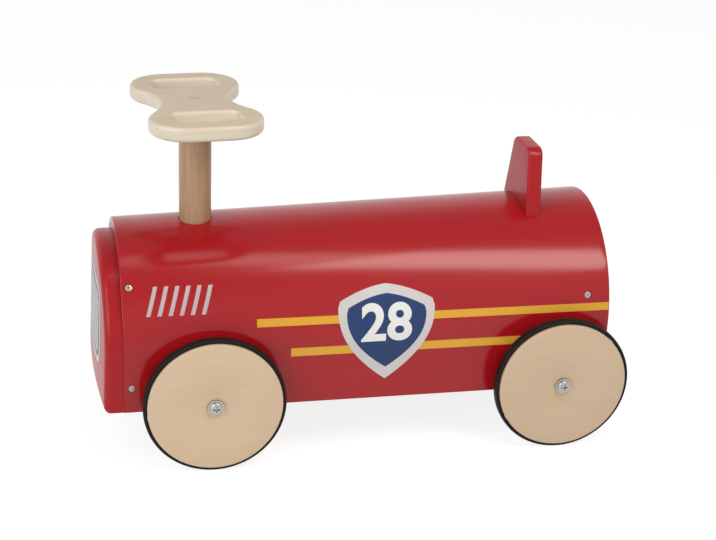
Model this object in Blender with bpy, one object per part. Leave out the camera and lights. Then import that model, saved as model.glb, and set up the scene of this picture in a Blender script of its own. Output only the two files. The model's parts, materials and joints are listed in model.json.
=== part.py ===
"""Wooden ride-on car with a bent plywood body, four wheels and a turning handle.

Units are metres and +Z is up. The nose faces -X, so the car's left side is -Y.
The origin is on the floor under the middle of the car.
"""
import math

import bmesh
import bpy
from mathutils import Vector
from mathutils.geometry import tessellate_polygon

# Gaps between pieces
FIT_GAP = 0.0003
RUN_GAP = 0.0004
# How far a cutter runs past the face that it starts from
CUT_OVERRUN = 0.010

# Wheels
WHEEL_RADIUS = 0.068
WHEEL_THICKNESS = 0.015
WHEEL_CHAMFER = 0.0012
WHEEL_SEGMENTS = 48
TYRE_RADIUS = 0.0723
TYRE_WIDTH = 0.0096
TYRE_SETBACK = 0.0026
TYRE_ROUNDING = 0.0010
WHEELBASE = 0.363

# Wheel screws, their washers, the bushings they run in and the spacers behind the wheels
SCREW_SHANK_RADIUS = 0.0040
SCREW_HEAD_RADIUS = 0.0066
SCREW_HEAD_HEIGHT = 0.0034
SCREW_CROWN_TOP_SHARE = 0.70
SCREW_CROWN_EDGE_SHARE = 0.95
SCREW_CROWN_HEIGHT_SHARE = 0.45
SCREW_RECESS_REACH = 0.0040
SCREW_RECESS_WIDTH = 0.0016
SCREW_RECESS_DEPTH = 0.0020
RECESS_ARM_TAPER = 0.8
RECESS_FLOOR_SHARE = 0.7
SCREW_GRIP_IN_BEAM = 0.038
WASHER_RADIUS = 0.0086
WASHER_THICKNESS = 0.0014
BUSHING_RADIUS = 0.0075
BUSHING_FLANGE_RADIUS = 0.0110
BUSHING_FLANGE_THICKNESS = 0.0020
SPACER_RADIUS = 0.0100
SPACER_LENGTH = 0.0080

# Bent plywood shell: an arch that is a little lower at the nose
SHELL_HALF_WIDTH = 0.106
SHELL_WALL = 0.007
SHELL_HEIGHT_FRONT = 0.1640
SHELL_HEIGHT_REAR = 0.1786
SHELL_AHEAD_OF_AXLE = 0.0885
SHELL_EDGE_BELOW_AXLE = 0.0133
ARCH_SEGMENTS = 40

# Boards that close the shell's ends
END_BOARD_THICKNESS = 0.016
REAR_BOARD_INSET = 0.016
REAR_BOARD_BEHIND_BEAM = 0.0025
NOSE_FOOT_THICKNESS = 0.0240
NOSE_DOME = 0.0045
NOSE_LEAN = 0.035
NOSE_SIDE_INSET = 0.0015
NOSE_TOP_DROP = 0.013
NOSE_EDGE_ROUNDING = 0.0065
NOSE_EDGE_STEPS = 4
NOSE_RINGS = (0.80, 0.55, 0.30)

# Beams that hold the wheel screws
FRONT_BEAM_DEPTH = 0.050
REAR_BEAM_DEPTH = 0.038
BEAM_HEIGHT = 0.040
BEAM_ABOVE_SHELL_EDGE = 0.0010

# Handle column
COLUMN_RADIUS = 0.0165
COLUMN_AHEAD_OF_AXLE = 0.0049
COLUMN_VISIBLE_LENGTH = 0.1113
COLUMN_SPIGOT_RADIUS = 0.010
COLUMN_BLOCK_DEPTH = 0.052
COLUMN_BLOCK_WIDTH = 0.072
COLUMN_BLOCK_THICKNESS = 0.026
SPIGOT_WASHER_RADIUS = 0.0150
SPIGOT_RECESS_DEPTH = 0.0065
STEER_LIMIT = math.radians(40.0)
STOP_PIN_RADIUS = 0.003
STOP_PIN_REACH = 0.0255
STOP_PIN_ABOVE_BEAM = 0.009
STOP_DOWEL_RADIUS = 0.004
STOP_DOWEL_CIRCLE = 0.0215
STOP_DOWEL_STANDING = 0.014
STOP_DOWEL_SUNK = 0.014

# Handle board: two rounded grips joined by a waist, with a hand hole in each grip.
# A plug covers the screw that holds it, and another screw holds the column's foot.
HANDLE_THICKNESS = 0.016
HANDLE_REST_TURN = math.radians(3.5)
HANDLE_HALF_SPAN = 0.097
GRIP_HALF_LENGTH = 0.0565
GRIP_END_RADIUS = 0.0370
HANDLE_WAIST_HALF_WIDTH = 0.036
HAND_HOLE_LENGTH = 0.067
HAND_HOLE_WIDTH = 0.035
HAND_HOLE_CORNER = 0.0080
GRIP_RIM_WIDTH = 0.0195
HANDLE_ROUNDING = 0.0048
HANDLE_SCREW_RADIUS = 0.0025
HANDLE_SCREW_HEAD_RADIUS = 0.0045
HANDLE_SCREW_LENGTH = 0.040
SPIGOT_SCREW_GRIP = 0.024
PLUG_RADIUS = 0.0050
PLUG_DEPTH = 0.0040
HANDLE_DOWEL_RADIUS = 0.003
HANDLE_DOWEL_LENGTH = 0.020
HANDLE_DOWEL_OFFSET = 0.0105

# Backrest
BACKREST_BEHIND_AXLE = -0.0155
BACKREST_THICKNESS = 0.016
BACKREST_RECLINE = math.radians(2.2)
BACKREST_BASE_HALF_WIDTH = 0.041
BACKREST_TOP_HALF_WIDTH = 0.0255
BACKREST_RISE = 0.061
BACKREST_CORNER = 0.011
BACKREST_ROUNDING = 0.0025
CLEAT_HALF_WIDTH = 0.036
CLEAT_DEPTH = 0.026
CLEAT_THICKNESS = 0.020
BACKREST_SCREW_SPREAD = 0.019
BACKREST_SCREW_GRIP = 0.020

# Countersunk wood screws
WOOD_SCREW_RADIUS = 0.0020
WOOD_SCREW_HEAD_RADIUS = 0.0034
WOOD_SCREW_HEAD_DEPTH = 0.0022
WOOD_SCREW_RECESS_REACH = 0.0022
WOOD_SCREW_RECESS_WIDTH = 0.0009
WOOD_SCREW_RECESS_DEPTH = 0.0012
SHELL_SCREW_LENGTH = 0.028
LOWER_SCREW_HEIGHT = 0.0266
UPPER_SCREW_HEIGHT_FRONT = 0.1256
UPPER_SCREW_HEIGHT_REAR = 0.1016
NOSE_SCREW_LENGTH = 0.030
NOSE_SCREW_SPREAD = 0.055
NOSE_SCREW_HEIGHT = 0.070

# Places that follow from the sizes above
AXLE_HEIGHT = TYRE_RADIUS * math.cos(math.pi / WHEEL_SEGMENTS)
NOSE_AHEAD_OF_AXLE = SHELL_AHEAD_OF_AXLE + FIT_GAP + NOSE_FOOT_THICKNESS - NOSE_LEAN * NOSE_EDGE_ROUNDING
CAR_LENGTH = NOSE_AHEAD_OF_AXLE + WHEELBASE + AXLE_HEIGHT
NOSE_FACE_X = -CAR_LENGTH / 2
FRONT_AXLE_X = NOSE_FACE_X + NOSE_AHEAD_OF_AXLE
REAR_AXLE_X = FRONT_AXLE_X + WHEELBASE
SHELL_FRONT_X = FRONT_AXLE_X - SHELL_AHEAD_OF_AXLE
REAR_BOARD_FRONT_X = REAR_AXLE_X + REAR_BEAM_DEPTH / 2 + REAR_BOARD_BEHIND_BEAM
REAR_BOARD_REAR_X = REAR_BOARD_FRONT_X + END_BOARD_THICKNESS
SHELL_REAR_X = REAR_BOARD_REAR_X + REAR_BOARD_INSET
SHELL_EDGE_Z = AXLE_HEIGHT - SHELL_EDGE_BELOW_AXLE
INNER_HALF_WIDTH = SHELL_HALF_WIDTH - SHELL_WALL
COLUMN_X = FRONT_AXLE_X - COLUMN_AHEAD_OF_AXLE
BEAM_BOTTOM_Z = SHELL_EDGE_Z + BEAM_ABOVE_SHELL_EDGE
BEAM_TOP_Z = BEAM_BOTTOM_Z + BEAM_HEIGHT
BACKREST_FRONT_X = REAR_AXLE_X + BACKREST_BEHIND_AXLE - BACKREST_THICKNESS / 2
# The hub stack, measured outwards from the shell's side
FLANGE_INNER = FIT_GAP + SPACER_LENGTH + RUN_GAP
WHEEL_INNER = FLANGE_INNER + BUSHING_FLANGE_THICKNESS + FIT_GAP
WHEEL_OUTER = WHEEL_INNER + WHEEL_THICKNESS
WASHER_INNER = WHEEL_OUTER + RUN_GAP
HEAD_INNER = WASHER_INNER + WASHER_THICKNESS + FIT_GAP


def shell_height(x):
    """Height of the shell's top above its edge at a place along the car."""
    share = (x - SHELL_FRONT_X) / (SHELL_REAR_X - SHELL_FRONT_X)
    return SHELL_HEIGHT_FRONT + share * (SHELL_HEIGHT_REAR - SHELL_HEIGHT_FRONT)


def arch_centre_z(x):
    """Height of the centre of the shell's round top."""
    return SHELL_EDGE_Z + shell_height(x) - SHELL_HALF_WIDTH


SHELL_TOP_AT_COLUMN = SHELL_EDGE_Z + shell_height(COLUMN_X)
HANDLE_BOTTOM_Z = SHELL_TOP_AT_COLUMN + COLUMN_VISIBLE_LENGTH
HANDLE_TOP_Z = HANDLE_BOTTOM_Z + HANDLE_THICKNESS


# Materials

def make_material(name, colour, roughness, metallic=0.0):
    material = bpy.data.materials.new(name)
    material.use_nodes = True
    shader = material.node_tree.nodes["Principled BSDF"]
    shader.inputs["Base Color"].default_value = (*colour, 1.0)
    shader.inputs["Roughness"].default_value = roughness
    shader.inputs["Metallic"].default_value = metallic
    material.diffuse_color = (*colour, 1.0)
    return material


# Mesh helpers

def remove_everything():
    for obj in list(bpy.data.objects):
        bpy.data.objects.remove(obj, do_unlink=True)


def finish_mesh(name, bm, material, smooth_angle=None):
    """Turn a bmesh into a named object with outward faces."""
    bmesh.ops.recalc_face_normals(bm, faces=bm.faces)
    mesh = bpy.data.meshes.new(name)
    bm.to_mesh(mesh)
    bm.free()
    if smooth_angle is not None:
        mesh.shade_smooth()
        mesh.set_sharp_from_angle(angle=math.radians(smooth_angle))
    if material:
        mesh.materials.append(material)
    obj = bpy.data.objects.new(name, mesh)
    bpy.context.scene.collection.objects.link(obj)
    return obj


def joint_empty(name, location):
    empty = bpy.data.objects.new(name, None)
    empty.location = location
    empty.empty_display_size = 0.02
    bpy.context.scene.collection.objects.link(empty)
    return empty


def attach(obj, empty):
    """Parent a piece to its joint's empty and keep its place."""
    obj.location = obj.location - empty.location
    obj.parent = empty


def lathe(name, profile, segments, material, smooth_angle=35):
    """Turn a profile of (radius, height) points about the local Z axis.

    A profile that starts and ends on the axis makes a solid, any other makes a ring.
    The first facet's middle faces local +X, so a wheel stands on a flat facet.
    """
    bm = bmesh.new()
    solid = profile[0][0] == 0.0 and profile[-1][0] == 0.0
    rings = []
    for radius, height in profile:
        if radius == 0.0:
            rings.append([bm.verts.new((0.0, 0.0, height))])
            continue
        ring = []
        for step in range(segments):
            angle = 2 * math.pi * (step + 0.5) / segments
            ring.append(bm.verts.new((radius * math.cos(angle), radius * math.sin(angle), height)))
        rings.append(ring)
    count = len(rings) - 1 if solid else len(rings)
    for index in range(count):
        lower = rings[index]
        upper = rings[(index + 1) % len(rings)]
        for step in range(segments):
            following = (step + 1) % segments
            if len(lower) == 1:
                bm.faces.new((lower[0], upper[step], upper[following]))
            elif len(upper) == 1:
                bm.faces.new((lower[step], lower[following], upper[0]))
            else:
                bm.faces.new((lower[step], lower[following], upper[following], upper[step]))
    return finish_mesh(name, bm, material, smooth_angle)


def point_along(obj, start, direction):
    """Place a turned piece so that its local +Z runs from start along direction."""
    obj.location = start
    obj.rotation_euler = Vector(direction).to_track_quat('Z', 'Y').to_euler()


def box(name, low, high, material, bevel=0.0):
    """A block between two corners, with a small bevel on its edges."""
    bm = bmesh.new()
    bmesh.ops.create_cube(bm, size=1.0)
    for vert in bm.verts:
        for axis in range(3):
            vert.co[axis] = low[axis] if vert.co[axis] < 0 else high[axis]
    if bevel > 0.0:
        bmesh.ops.bevel(bm, geom=bm.edges[:], offset=bevel, segments=1, affect='EDGES')
    return finish_mesh(name, bm, material)


def board(name, layers, material, smooth_angle=40):
    """A flat board built from layers, each a height and its closed outlines.

    Every layer has the same outlines, the first being the outer one and the rest holes.
    Points are (u, v) pairs, which become local X and Y.
    """
    bm = bmesh.new()
    rings = []
    for height, outlines in layers:
        rings.append([[bm.verts.new((u, v, height)) for u, v in outline] for outline in outlines])
    for lower, upper in zip(rings, rings[1:]):
        for low_ring, high_ring in zip(lower, upper):
            for index in range(len(low_ring)):
                following = (index + 1) % len(low_ring)
                bm.faces.new((low_ring[index], low_ring[following], high_ring[following], high_ring[index]))
    for cap in (rings[0], rings[-1]):
        if len(cap) == 1:
            bm.faces.new(cap[0])
            continue
        flat = [vert for ring in cap for vert in ring]
        for triangle in tessellate_polygon([[vert.co.copy() for vert in ring] for ring in cap]):
            bm.faces.new([flat[index] for index in triangle])
    return finish_mesh(name, bm, material, smooth_angle)


def rounded_layers(outlines_at, thickness, rounding, steps=2, round_bottom=True):
    """Layers of a board whose edges are rounded: outlines_at(inset) gives the outlines."""
    layers = []
    angles = [0.5 * math.pi * step / steps for step in range(steps + 1)]
    if round_bottom:
        for angle in angles:
            inset = rounding * (1 - math.sin(angle))
            layers.append((rounding * (1 - math.cos(angle)), outlines_at(inset)))
    else:
        layers.append((0.0, outlines_at(0.0)))
    for angle in reversed(angles):
        inset = rounding * (1 - math.sin(angle))
        layers.append((thickness - rounding * (1 - math.cos(angle)), outlines_at(inset)))
    return layers


def arc(centre, radius, start, end, segments):
    """Points on an arc, from one angle to another, in radians."""
    points = []
    for step in range(segments + 1):
        angle = start + (end - start) * step / segments
        points.append((centre[0] + radius * math.cos(angle), centre[1] + radius * math.sin(angle)))
    return points


def cut_with(obj, cutters, operation='DIFFERENCE'):
    """Cut an object with others, which are only guides."""
    for cutter in cutters:
        cutter.hide_render = True
        cutter.display_type = 'WIRE'
        modifier = obj.modifiers.new(cutter.name, 'BOOLEAN')
        modifier.operation = operation
        modifier.solver = 'EXACT'
        modifier.object = cutter


def hole_cutter(name, start, direction, length, radius, segments=16):
    """A round cutter that begins at start and runs along direction."""
    outer = radius / math.cos(math.pi / segments)
    profile = [(0.0, 0.0), (outer, 0.0), (outer, length), (0.0, length)]
    cutter = lathe(name, profile, segments, None)
    point_along(cutter, start, direction)
    return cutter


# The arch that the shell, the end boards and the blocks share

def arch_outline(x, inset):
    """Points (y, z) of the arch from its left foot over the top to its right foot."""
    radius = SHELL_HALF_WIDTH - inset
    centre_z = arch_centre_z(x)
    points = [(-radius, SHELL_EDGE_Z)]
    for y, z in arc((0.0, centre_z), radius, math.pi, 0.0, ARCH_SEGMENTS):
        points.append((y, z))
    points.append((radius, SHELL_EDGE_Z))
    return points


def arch_solid(name, front_x, rear_x, inset, material, foot_drop=0.0):
    """A solid block with the arch's outline, between two places along the car."""
    bm = bmesh.new()
    ends = []
    for x in (front_x, rear_x):
        outline = arch_outline(x, inset)
        if foot_drop:
            outline[0] = (outline[0][0], SHELL_EDGE_Z - foot_drop)
            outline[-1] = (outline[-1][0], SHELL_EDGE_Z - foot_drop)
        ends.append([bm.verts.new((x, y, z)) for y, z in outline])
    front, rear = ends
    for index in range(len(front)):
        following = (index + 1) % len(front)
        bm.faces.new((front[index], front[following], rear[following], rear[index]))
    bm.faces.new(front)
    bm.faces.new(rear)
    return finish_mesh(name, bm, material, 30)


def surface_point(x, height):
    """Place and outward direction on the shell's right side, at a height above its edge."""
    straight = arch_centre_z(x) - SHELL_EDGE_Z
    if height <= straight:
        return Vector((x, SHELL_HALF_WIDTH, SHELL_EDGE_Z + height)), Vector((0.0, 1.0, 0.0))
    lift = math.asin(min(1.0, (height - straight) / SHELL_HALF_WIDTH))
    normal = Vector((0.0, math.cos(lift), math.sin(lift)))
    centre = Vector((x, 0.0, arch_centre_z(x)))
    return centre + normal * SHELL_HALF_WIDTH, normal


def mirrored(vector):
    return Vector((vector.x, -vector.y, vector.z))


# Screws

def cut_cross_recess(screw, reach, width, depth):
    """Cut a cross-shaped recess in a screw's head, which faces the screw's local -Z."""
    bm = bmesh.new()
    outline = []
    half = width / 2
    tip = half * RECESS_ARM_TAPER
    for turn in range(4):
        angle = turn * math.pi / 2
        for along, across in ((half, -half), (reach, -tip), (reach, tip)):
            x = along * math.cos(angle) - across * math.sin(angle)
            y = along * math.sin(angle) + across * math.cos(angle)
            outline.append((x, y))
    outer = [bm.verts.new((x, y, -depth)) for x, y in outline]
    inner = [bm.verts.new((x * RECESS_FLOOR_SHARE, y * RECESS_FLOOR_SHARE, depth)) for x, y in outline]
    bm.faces.new(outer)
    bm.faces.new(inner)
    for index in range(len(outer)):
        following = (index + 1) % len(outer)
        bm.faces.new((outer[index], outer[following], inner[following], inner[index]))
    cutter = finish_mesh("cut_" + screw.name + "_recess", bm, None)
    cutter.location = screw.location
    cutter.rotation_euler = screw.rotation_euler
    cut_with(screw, [cutter])
    return cutter


def wood_screw(name, start, direction, length, material, clearance=0.0, segments=12):
    """A countersunk screw whose head's face is at start and whose tip lies along direction.

    With a clearance it is the cutter for the hole that the screw sits in.
    """
    head = WOOD_SCREW_HEAD_RADIUS + clearance
    shank = WOOD_SCREW_RADIUS + clearance
    depth = WOOD_SCREW_HEAD_DEPTH
    tip = length + clearance
    point = length - 2.0 * WOOD_SCREW_RADIUS + clearance
    profile = [(0.0, 0.0), (head, 0.0)]
    if clearance > 0.0:
        profile = [(0.0, -depth), (head, -depth), (head, 0.0)]
    profile += [(shank, depth), (shank, point), (0.0, tip)]
    screw = lathe(name, profile, segments, material)
    point_along(screw, start, direction)
    if clearance == 0.0:
        cut_cross_recess(screw, WOOD_SCREW_RECESS_REACH, WOOD_SCREW_RECESS_WIDTH, WOOD_SCREW_RECESS_DEPTH)
    return screw


def shell_screw_places():
    """Name, head place and inward direction of each screw through the shell."""
    front_x = SHELL_FRONT_X + END_BOARD_THICKNESS / 2
    rear_x = REAR_BOARD_FRONT_X + END_BOARD_THICKNESS / 2
    heights = (
        ("front_lower", front_x, LOWER_SCREW_HEIGHT),
        ("front_upper", front_x, UPPER_SCREW_HEIGHT_FRONT),
        ("rear_lower", rear_x, LOWER_SCREW_HEIGHT),
        ("rear_upper", rear_x, UPPER_SCREW_HEIGHT_REAR),
    )
    places = []
    for label, x, height in heights:
        point, normal = surface_point(x, height)
        start = point - normal * FIT_GAP
        places.append((label + "_right", start, -normal))
        places.append((label + "_left", mirrored(start), -mirrored(normal)))
    return places


def cut_for_shell_screws(obj, label):
    cutters = []
    for name, start, direction in shell_screw_places():
        if label in name:
            cutters.append(wood_screw("cut_" + obj.name + "_" + name, start, direction,
                                      SHELL_SCREW_LENGTH, None, FIT_GAP))
    cut_with(obj, cutters)


def wheel_corners():
    """Name, axle place along the car and side of each wheel."""
    return (
        ("front_left", FRONT_AXLE_X, -1.0),
        ("front_right", FRONT_AXLE_X, 1.0),
        ("rear_left", REAR_AXLE_X, -1.0),
        ("rear_right", REAR_AXLE_X, 1.0),
    )


def wheel_screw_hole(name, axle_x, side):
    """Cutter for a wheel screw, from outside the shell into the beam."""
    start = Vector((axle_x, side * (SHELL_HALF_WIDTH + FIT_GAP), AXLE_HEIGHT))
    length = SHELL_WALL + SCREW_GRIP_IN_BEAM + 2 * FIT_GAP
    return hole_cutter(name, start, (0.0, -side, 0.0), length, SCREW_SHANK_RADIUS + FIT_GAP)


# Body

def backrest_screw_places():
    """Place of each backrest screw's head under the cleat."""
    x = BACKREST_FRONT_X + BACKREST_THICKNESS / 2
    bottom = cleat_bottom_z() - FIT_GAP
    return (
        ("backrest_screw_left", Vector((x, -BACKREST_SCREW_SPREAD, bottom))),
        ("backrest_screw_right", Vector((x, BACKREST_SCREW_SPREAD, bottom))),
    )


def cleat_bottom_z():
    x = BACKREST_FRONT_X + BACKREST_THICKNESS / 2
    return arch_centre_z(x) + INNER_HALF_WIDTH - CLEAT_THICKNESS


def backrest_screw_length():
    return CLEAT_THICKNESS + SHELL_WALL + BACKREST_SCREW_GRIP


def cut_for_backrest_screws(obj):
    cutters = []
    for name, start in backrest_screw_places():
        cutters.append(wood_screw("cut_" + obj.name + "_" + name, start + Vector((0.0, 0.0, 2 * FIT_GAP)),
                                  (0.0, 0.0, 1.0), backrest_screw_length(), None, FIT_GAP))
    cut_with(obj, cutters)


def make_shell(material):
    bm = bmesh.new()
    ends = []
    for x in (SHELL_FRONT_X, SHELL_REAR_X):
        outer = [bm.verts.new((x, y, z)) for y, z in arch_outline(x, 0.0)]
        inner = [bm.verts.new((x, y, z)) for y, z in arch_outline(x, SHELL_WALL)]
        ends.append((outer, inner))
        for index in range(len(outer) - 1):
            bm.faces.new((outer[index], outer[index + 1], inner[index + 1], inner[index]))
    for front, rear in zip(ends[0], ends[1]):
        for index in range(len(front) - 1):
            bm.faces.new((front[index], front[index + 1], rear[index + 1], rear[index]))
    for index in (0, -1):
        bm.faces.new((ends[0][0][index], ends[1][0][index], ends[1][1][index], ends[0][1][index]))
    shell = finish_mesh("body_shell", bm, material, 30)
    column_hole = hole_cutter("cut_shell_column", (COLUMN_X, 0.0, arch_centre_z(COLUMN_X)),
                              (0.0, 0.0, 1.0), 2 * SHELL_HALF_WIDTH, COLUMN_RADIUS + 2 * RUN_GAP, 32)
    holes = [column_hole]
    for label, axle_x, side in wheel_corners():
        holes.append(wheel_screw_hole("cut_shell_" + label, axle_x, side))
    cut_with(shell, holes)
    cut_for_shell_screws(shell, "")
    cut_for_backrest_screws(shell)
    return shell


def make_end_boards(material):
    front = arch_solid("front_bulkhead", SHELL_FRONT_X, SHELL_FRONT_X + END_BOARD_THICKNESS,
                       SHELL_WALL + FIT_GAP, material)
    cut_for_shell_screws(front, "front")
    cut_with(front, nose_screw_cutters("front_bulkhead"))
    rear = arch_solid("rear_bulkhead", REAR_BOARD_FRONT_X, REAR_BOARD_REAR_X,
                      SHELL_WALL + FIT_GAP, material)
    cut_for_shell_screws(rear, "rear")


def nose_outline(inset):
    """The nose board's outline: straight sides and a top that is flatter than the shell's."""
    half_width = SHELL_HALF_WIDTH - NOSE_SIDE_INSET - inset
    centre_z = arch_centre_z(SHELL_FRONT_X)
    rise = SHELL_HALF_WIDTH - NOSE_TOP_DROP - inset
    points = [(-half_width, SHELL_EDGE_Z + inset)]
    for cosine, sine in arc((0.0, 0.0), 1.0, math.pi, 0.0, ARCH_SEGMENTS):
        points.append((half_width * cosine, centre_z + rise * sine))
    points.append((half_width, SHELL_EDGE_Z + inset))
    foot_steps = ARCH_SEGMENTS // 4
    for step in range(1, foot_steps):
        across = half_width * (1 - 2 * step / foot_steps)
        points.append((across, SHELL_EDGE_Z + inset))
    return points


def nose_thickness(y, z):
    """Thickness of the nose board, which bulges in the middle and leans back upwards."""
    across = y / (SHELL_HALF_WIDTH - NOSE_SIDE_INSET)
    return NOSE_FOOT_THICKNESS - NOSE_DOME * across ** 2 - NOSE_LEAN * (z - SHELL_EDGE_Z)


def nose_screw_places():
    """Head place of each screw that holds the nose board, behind the front bulkhead."""
    x = SHELL_FRONT_X + END_BOARD_THICKNESS - FIT_GAP
    z = SHELL_EDGE_Z + NOSE_SCREW_HEIGHT
    return (
        ("nose_screw_left", Vector((x, -NOSE_SCREW_SPREAD, z))),
        ("nose_screw_right", Vector((x, NOSE_SCREW_SPREAD, z))),
    )


def nose_screw_cutters(label):
    cutters = []
    for name, start in nose_screw_places():
        cutters.append(wood_screw("cut_" + label + "_" + name, start, (-1.0, 0.0, 0.0),
                                  NOSE_SCREW_LENGTH, None, FIT_GAP))
    return cutters


def make_nose(material, screw_material):
    """The nose board: a flat back, an upright edge, a rounded rim and a domed face."""
    bm = bmesh.new()
    back_x = SHELL_FRONT_X - FIT_GAP
    rings = [[(back_x, y, z) for y, z in nose_outline(0.0)]]
    for step in range(NOSE_EDGE_STEPS + 1):
        angle = 0.5 * math.pi * step / NOSE_EDGE_STEPS
        inset = NOSE_EDGE_ROUNDING * (1 - math.cos(angle))
        lower = NOSE_EDGE_ROUNDING * (1 - math.sin(angle))
        rings.append([(back_x - nose_thickness(y, z) + lower, y, z) for y, z in nose_outline(inset)])
    middle_z = arch_centre_z(SHELL_FRONT_X)
    for share in NOSE_RINGS:
        ring = []
        for y, z in nose_outline(NOSE_EDGE_ROUNDING):
            ring_y = y * share
            ring_z = middle_z + (z - middle_z) * share
            ring.append((back_x - nose_thickness(ring_y, ring_z), ring_y, ring_z))
        rings.append(ring)
    loops = [[bm.verts.new(point) for point in ring] for ring in rings]
    bm.faces.new(loops[0])
    for lower_loop, upper_loop in zip(loops, loops[1:]):
        for index in range(len(lower_loop)):
            following = (index + 1) % len(lower_loop)
            bm.faces.new((lower_loop[index], lower_loop[following], upper_loop[following], upper_loop[index]))
    tip = bm.verts.new((back_x - nose_thickness(0.0, middle_z), 0.0, middle_z))
    for index in range(len(loops[-1])):
        following = (index + 1) % len(loops[-1])
        bm.faces.new((loops[-1][index], loops[-1][following], tip))
    nose = finish_mesh("nose_panel", bm, material, 40)
    cut_with(nose, nose_screw_cutters("nose_panel"))
    for name, start in nose_screw_places():
        wood_screw(name, start, (-1.0, 0.0, 0.0), NOSE_SCREW_LENGTH, screw_material)


def make_beams(material):
    half = INNER_HALF_WIDTH - FIT_GAP
    front = box("front_axle_beam", (COLUMN_X - FRONT_BEAM_DEPTH / 2, -half, BEAM_BOTTOM_Z),
                (COLUMN_X + FRONT_BEAM_DEPTH / 2, half, BEAM_TOP_Z), material)
    rear = box("rear_axle_beam", (REAR_AXLE_X - REAR_BEAM_DEPTH / 2, -half, BEAM_BOTTOM_Z),
               (REAR_AXLE_X + REAR_BEAM_DEPTH / 2, half, BEAM_TOP_Z), material)
    for beam, label in ((front, "front"), (rear, "rear")):
        holes = []
        for corner, axle_x, side in wheel_corners():
            if corner.startswith(label):
                holes.append(wheel_screw_hole("cut_beam_" + corner, axle_x, side))
        cut_with(beam, holes)
    bore = (COLUMN_SPIGOT_RADIUS + RUN_GAP) / math.cos(math.pi / 24)
    recess = (SPIGOT_WASHER_RADIUS + 2 * RUN_GAP) / math.cos(math.pi / 24)
    spigot_cutter = lathe("cut_beam_spigot", [
        (0.0, -CUT_OVERRUN),
        (recess, -CUT_OVERRUN),
        (recess, SPIGOT_RECESS_DEPTH),
        (bore, SPIGOT_RECESS_DEPTH),
        (bore, BEAM_HEIGHT + CUT_OVERRUN),
        (0.0, BEAM_HEIGHT + CUT_OVERRUN),
    ], 24, None)
    spigot_cutter.location = (COLUMN_X, 0.0, BEAM_BOTTOM_Z)
    cut_with(front, [spigot_cutter])
    dowel_holes = []
    for name, place in stop_dowel_places():
        dowel_holes.append(hole_cutter("cut_beam_" + name, place - Vector((0.0, 0.0, FIT_GAP)),
                                       (0.0, 0.0, 1.0), BEAM_HEIGHT, STOP_DOWEL_RADIUS + FIT_GAP, 12))
    cut_with(front, dowel_holes)


def stop_dowel_places():
    """Foot of each dowel that stops the pin, sunk in the front beam."""
    contact = STOP_PIN_RADIUS + STOP_DOWEL_RADIUS + FIT_GAP
    angle = STEER_LIMIT + math.asin(contact / STOP_DOWEL_CIRCLE)
    x = COLUMN_X + STOP_DOWEL_CIRCLE * math.cos(angle)
    y = STOP_DOWEL_CIRCLE * math.sin(angle)
    z = BEAM_TOP_Z - STOP_DOWEL_SUNK
    return (
        ("stop_dowel_left", Vector((x, -y, z))),
        ("stop_dowel_right", Vector((x, y, z))),
    )


def make_stop_dowels(material):
    length = STOP_DOWEL_SUNK + STOP_DOWEL_STANDING
    edge = STOP_DOWEL_RADIUS / 5
    profile = [
        (0.0, 0.0),
        (STOP_DOWEL_RADIUS, 0.0),
        (STOP_DOWEL_RADIUS, length - edge),
        (STOP_DOWEL_RADIUS - edge, length),
        (0.0, length),
    ]
    for name, place in stop_dowel_places():
        dowel = lathe(name, profile, 12, material)
        dowel.location = place


def make_shell_screws(material):
    for name, start, direction in shell_screw_places():
        wood_screw("shell_screw_" + name, start, direction, SHELL_SCREW_LENGTH, material)


def make_column_block(material, inside):
    """Block glued under the shell's top, which guides the column."""
    top = SHELL_TOP_AT_COLUMN - SHELL_WALL
    low = (COLUMN_X - COLUMN_BLOCK_DEPTH / 2, -COLUMN_BLOCK_WIDTH / 2, top - COLUMN_BLOCK_THICKNESS)
    high = (COLUMN_X + COLUMN_BLOCK_DEPTH / 2, COLUMN_BLOCK_WIDTH / 2, top + SHELL_WALL)
    block = box("column_block", low, high, material)
    cut_with(block, [inside], 'INTERSECT')
    bore = hole_cutter("cut_block_column", (COLUMN_X, 0.0, low[2] - SHELL_WALL), (0.0, 0.0, 1.0),
                       2 * COLUMN_BLOCK_THICKNESS + 2 * SHELL_WALL, COLUMN_RADIUS + RUN_GAP, 32)
    cut_with(block, [bore])


# Backrest

def backrest_base_z():
    """Height of the shell's top under the backrest."""
    return arch_centre_z(BACKREST_FRONT_X + BACKREST_THICKNESS / 2) + SHELL_HALF_WIDTH


def backrest_outline(inset):
    """A board that narrows upwards, with round top corners. Its foot is cut to the shell later."""
    centre_x = BACKREST_FRONT_X + BACKREST_THICKNESS / 2
    top = arch_centre_z(centre_x) + SHELL_HALF_WIDTH + BACKREST_RISE - inset
    foot = arch_centre_z(centre_x) + SHELL_HALF_WIDTH / 2
    base_z = arch_centre_z(centre_x)
    base_z += math.sqrt(SHELL_HALF_WIDTH ** 2 - BACKREST_BASE_HALF_WIDTH ** 2)
    lean = (BACKREST_BASE_HALF_WIDTH - BACKREST_TOP_HALF_WIDTH) / (top + inset - base_z)
    slant = math.atan(lean)
    side_shift = inset / math.cos(slant)
    radius = BACKREST_CORNER - inset
    corner_z = top - radius
    side_at_corner = BACKREST_TOP_HALF_WIDTH + lean * (top + inset - corner_z) - side_shift
    centre_y = side_at_corner - radius / math.cos(slant)
    foot_y = BACKREST_BASE_HALF_WIDTH + lean * (base_z - foot) - side_shift
    right = arc((centre_y, corner_z), radius, slant, math.pi / 2, 5)
    left = [(-y, z) for y, z in reversed(right)]
    return [[(foot_y, foot)] + right + left + [(-foot_y, foot)]]


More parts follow.
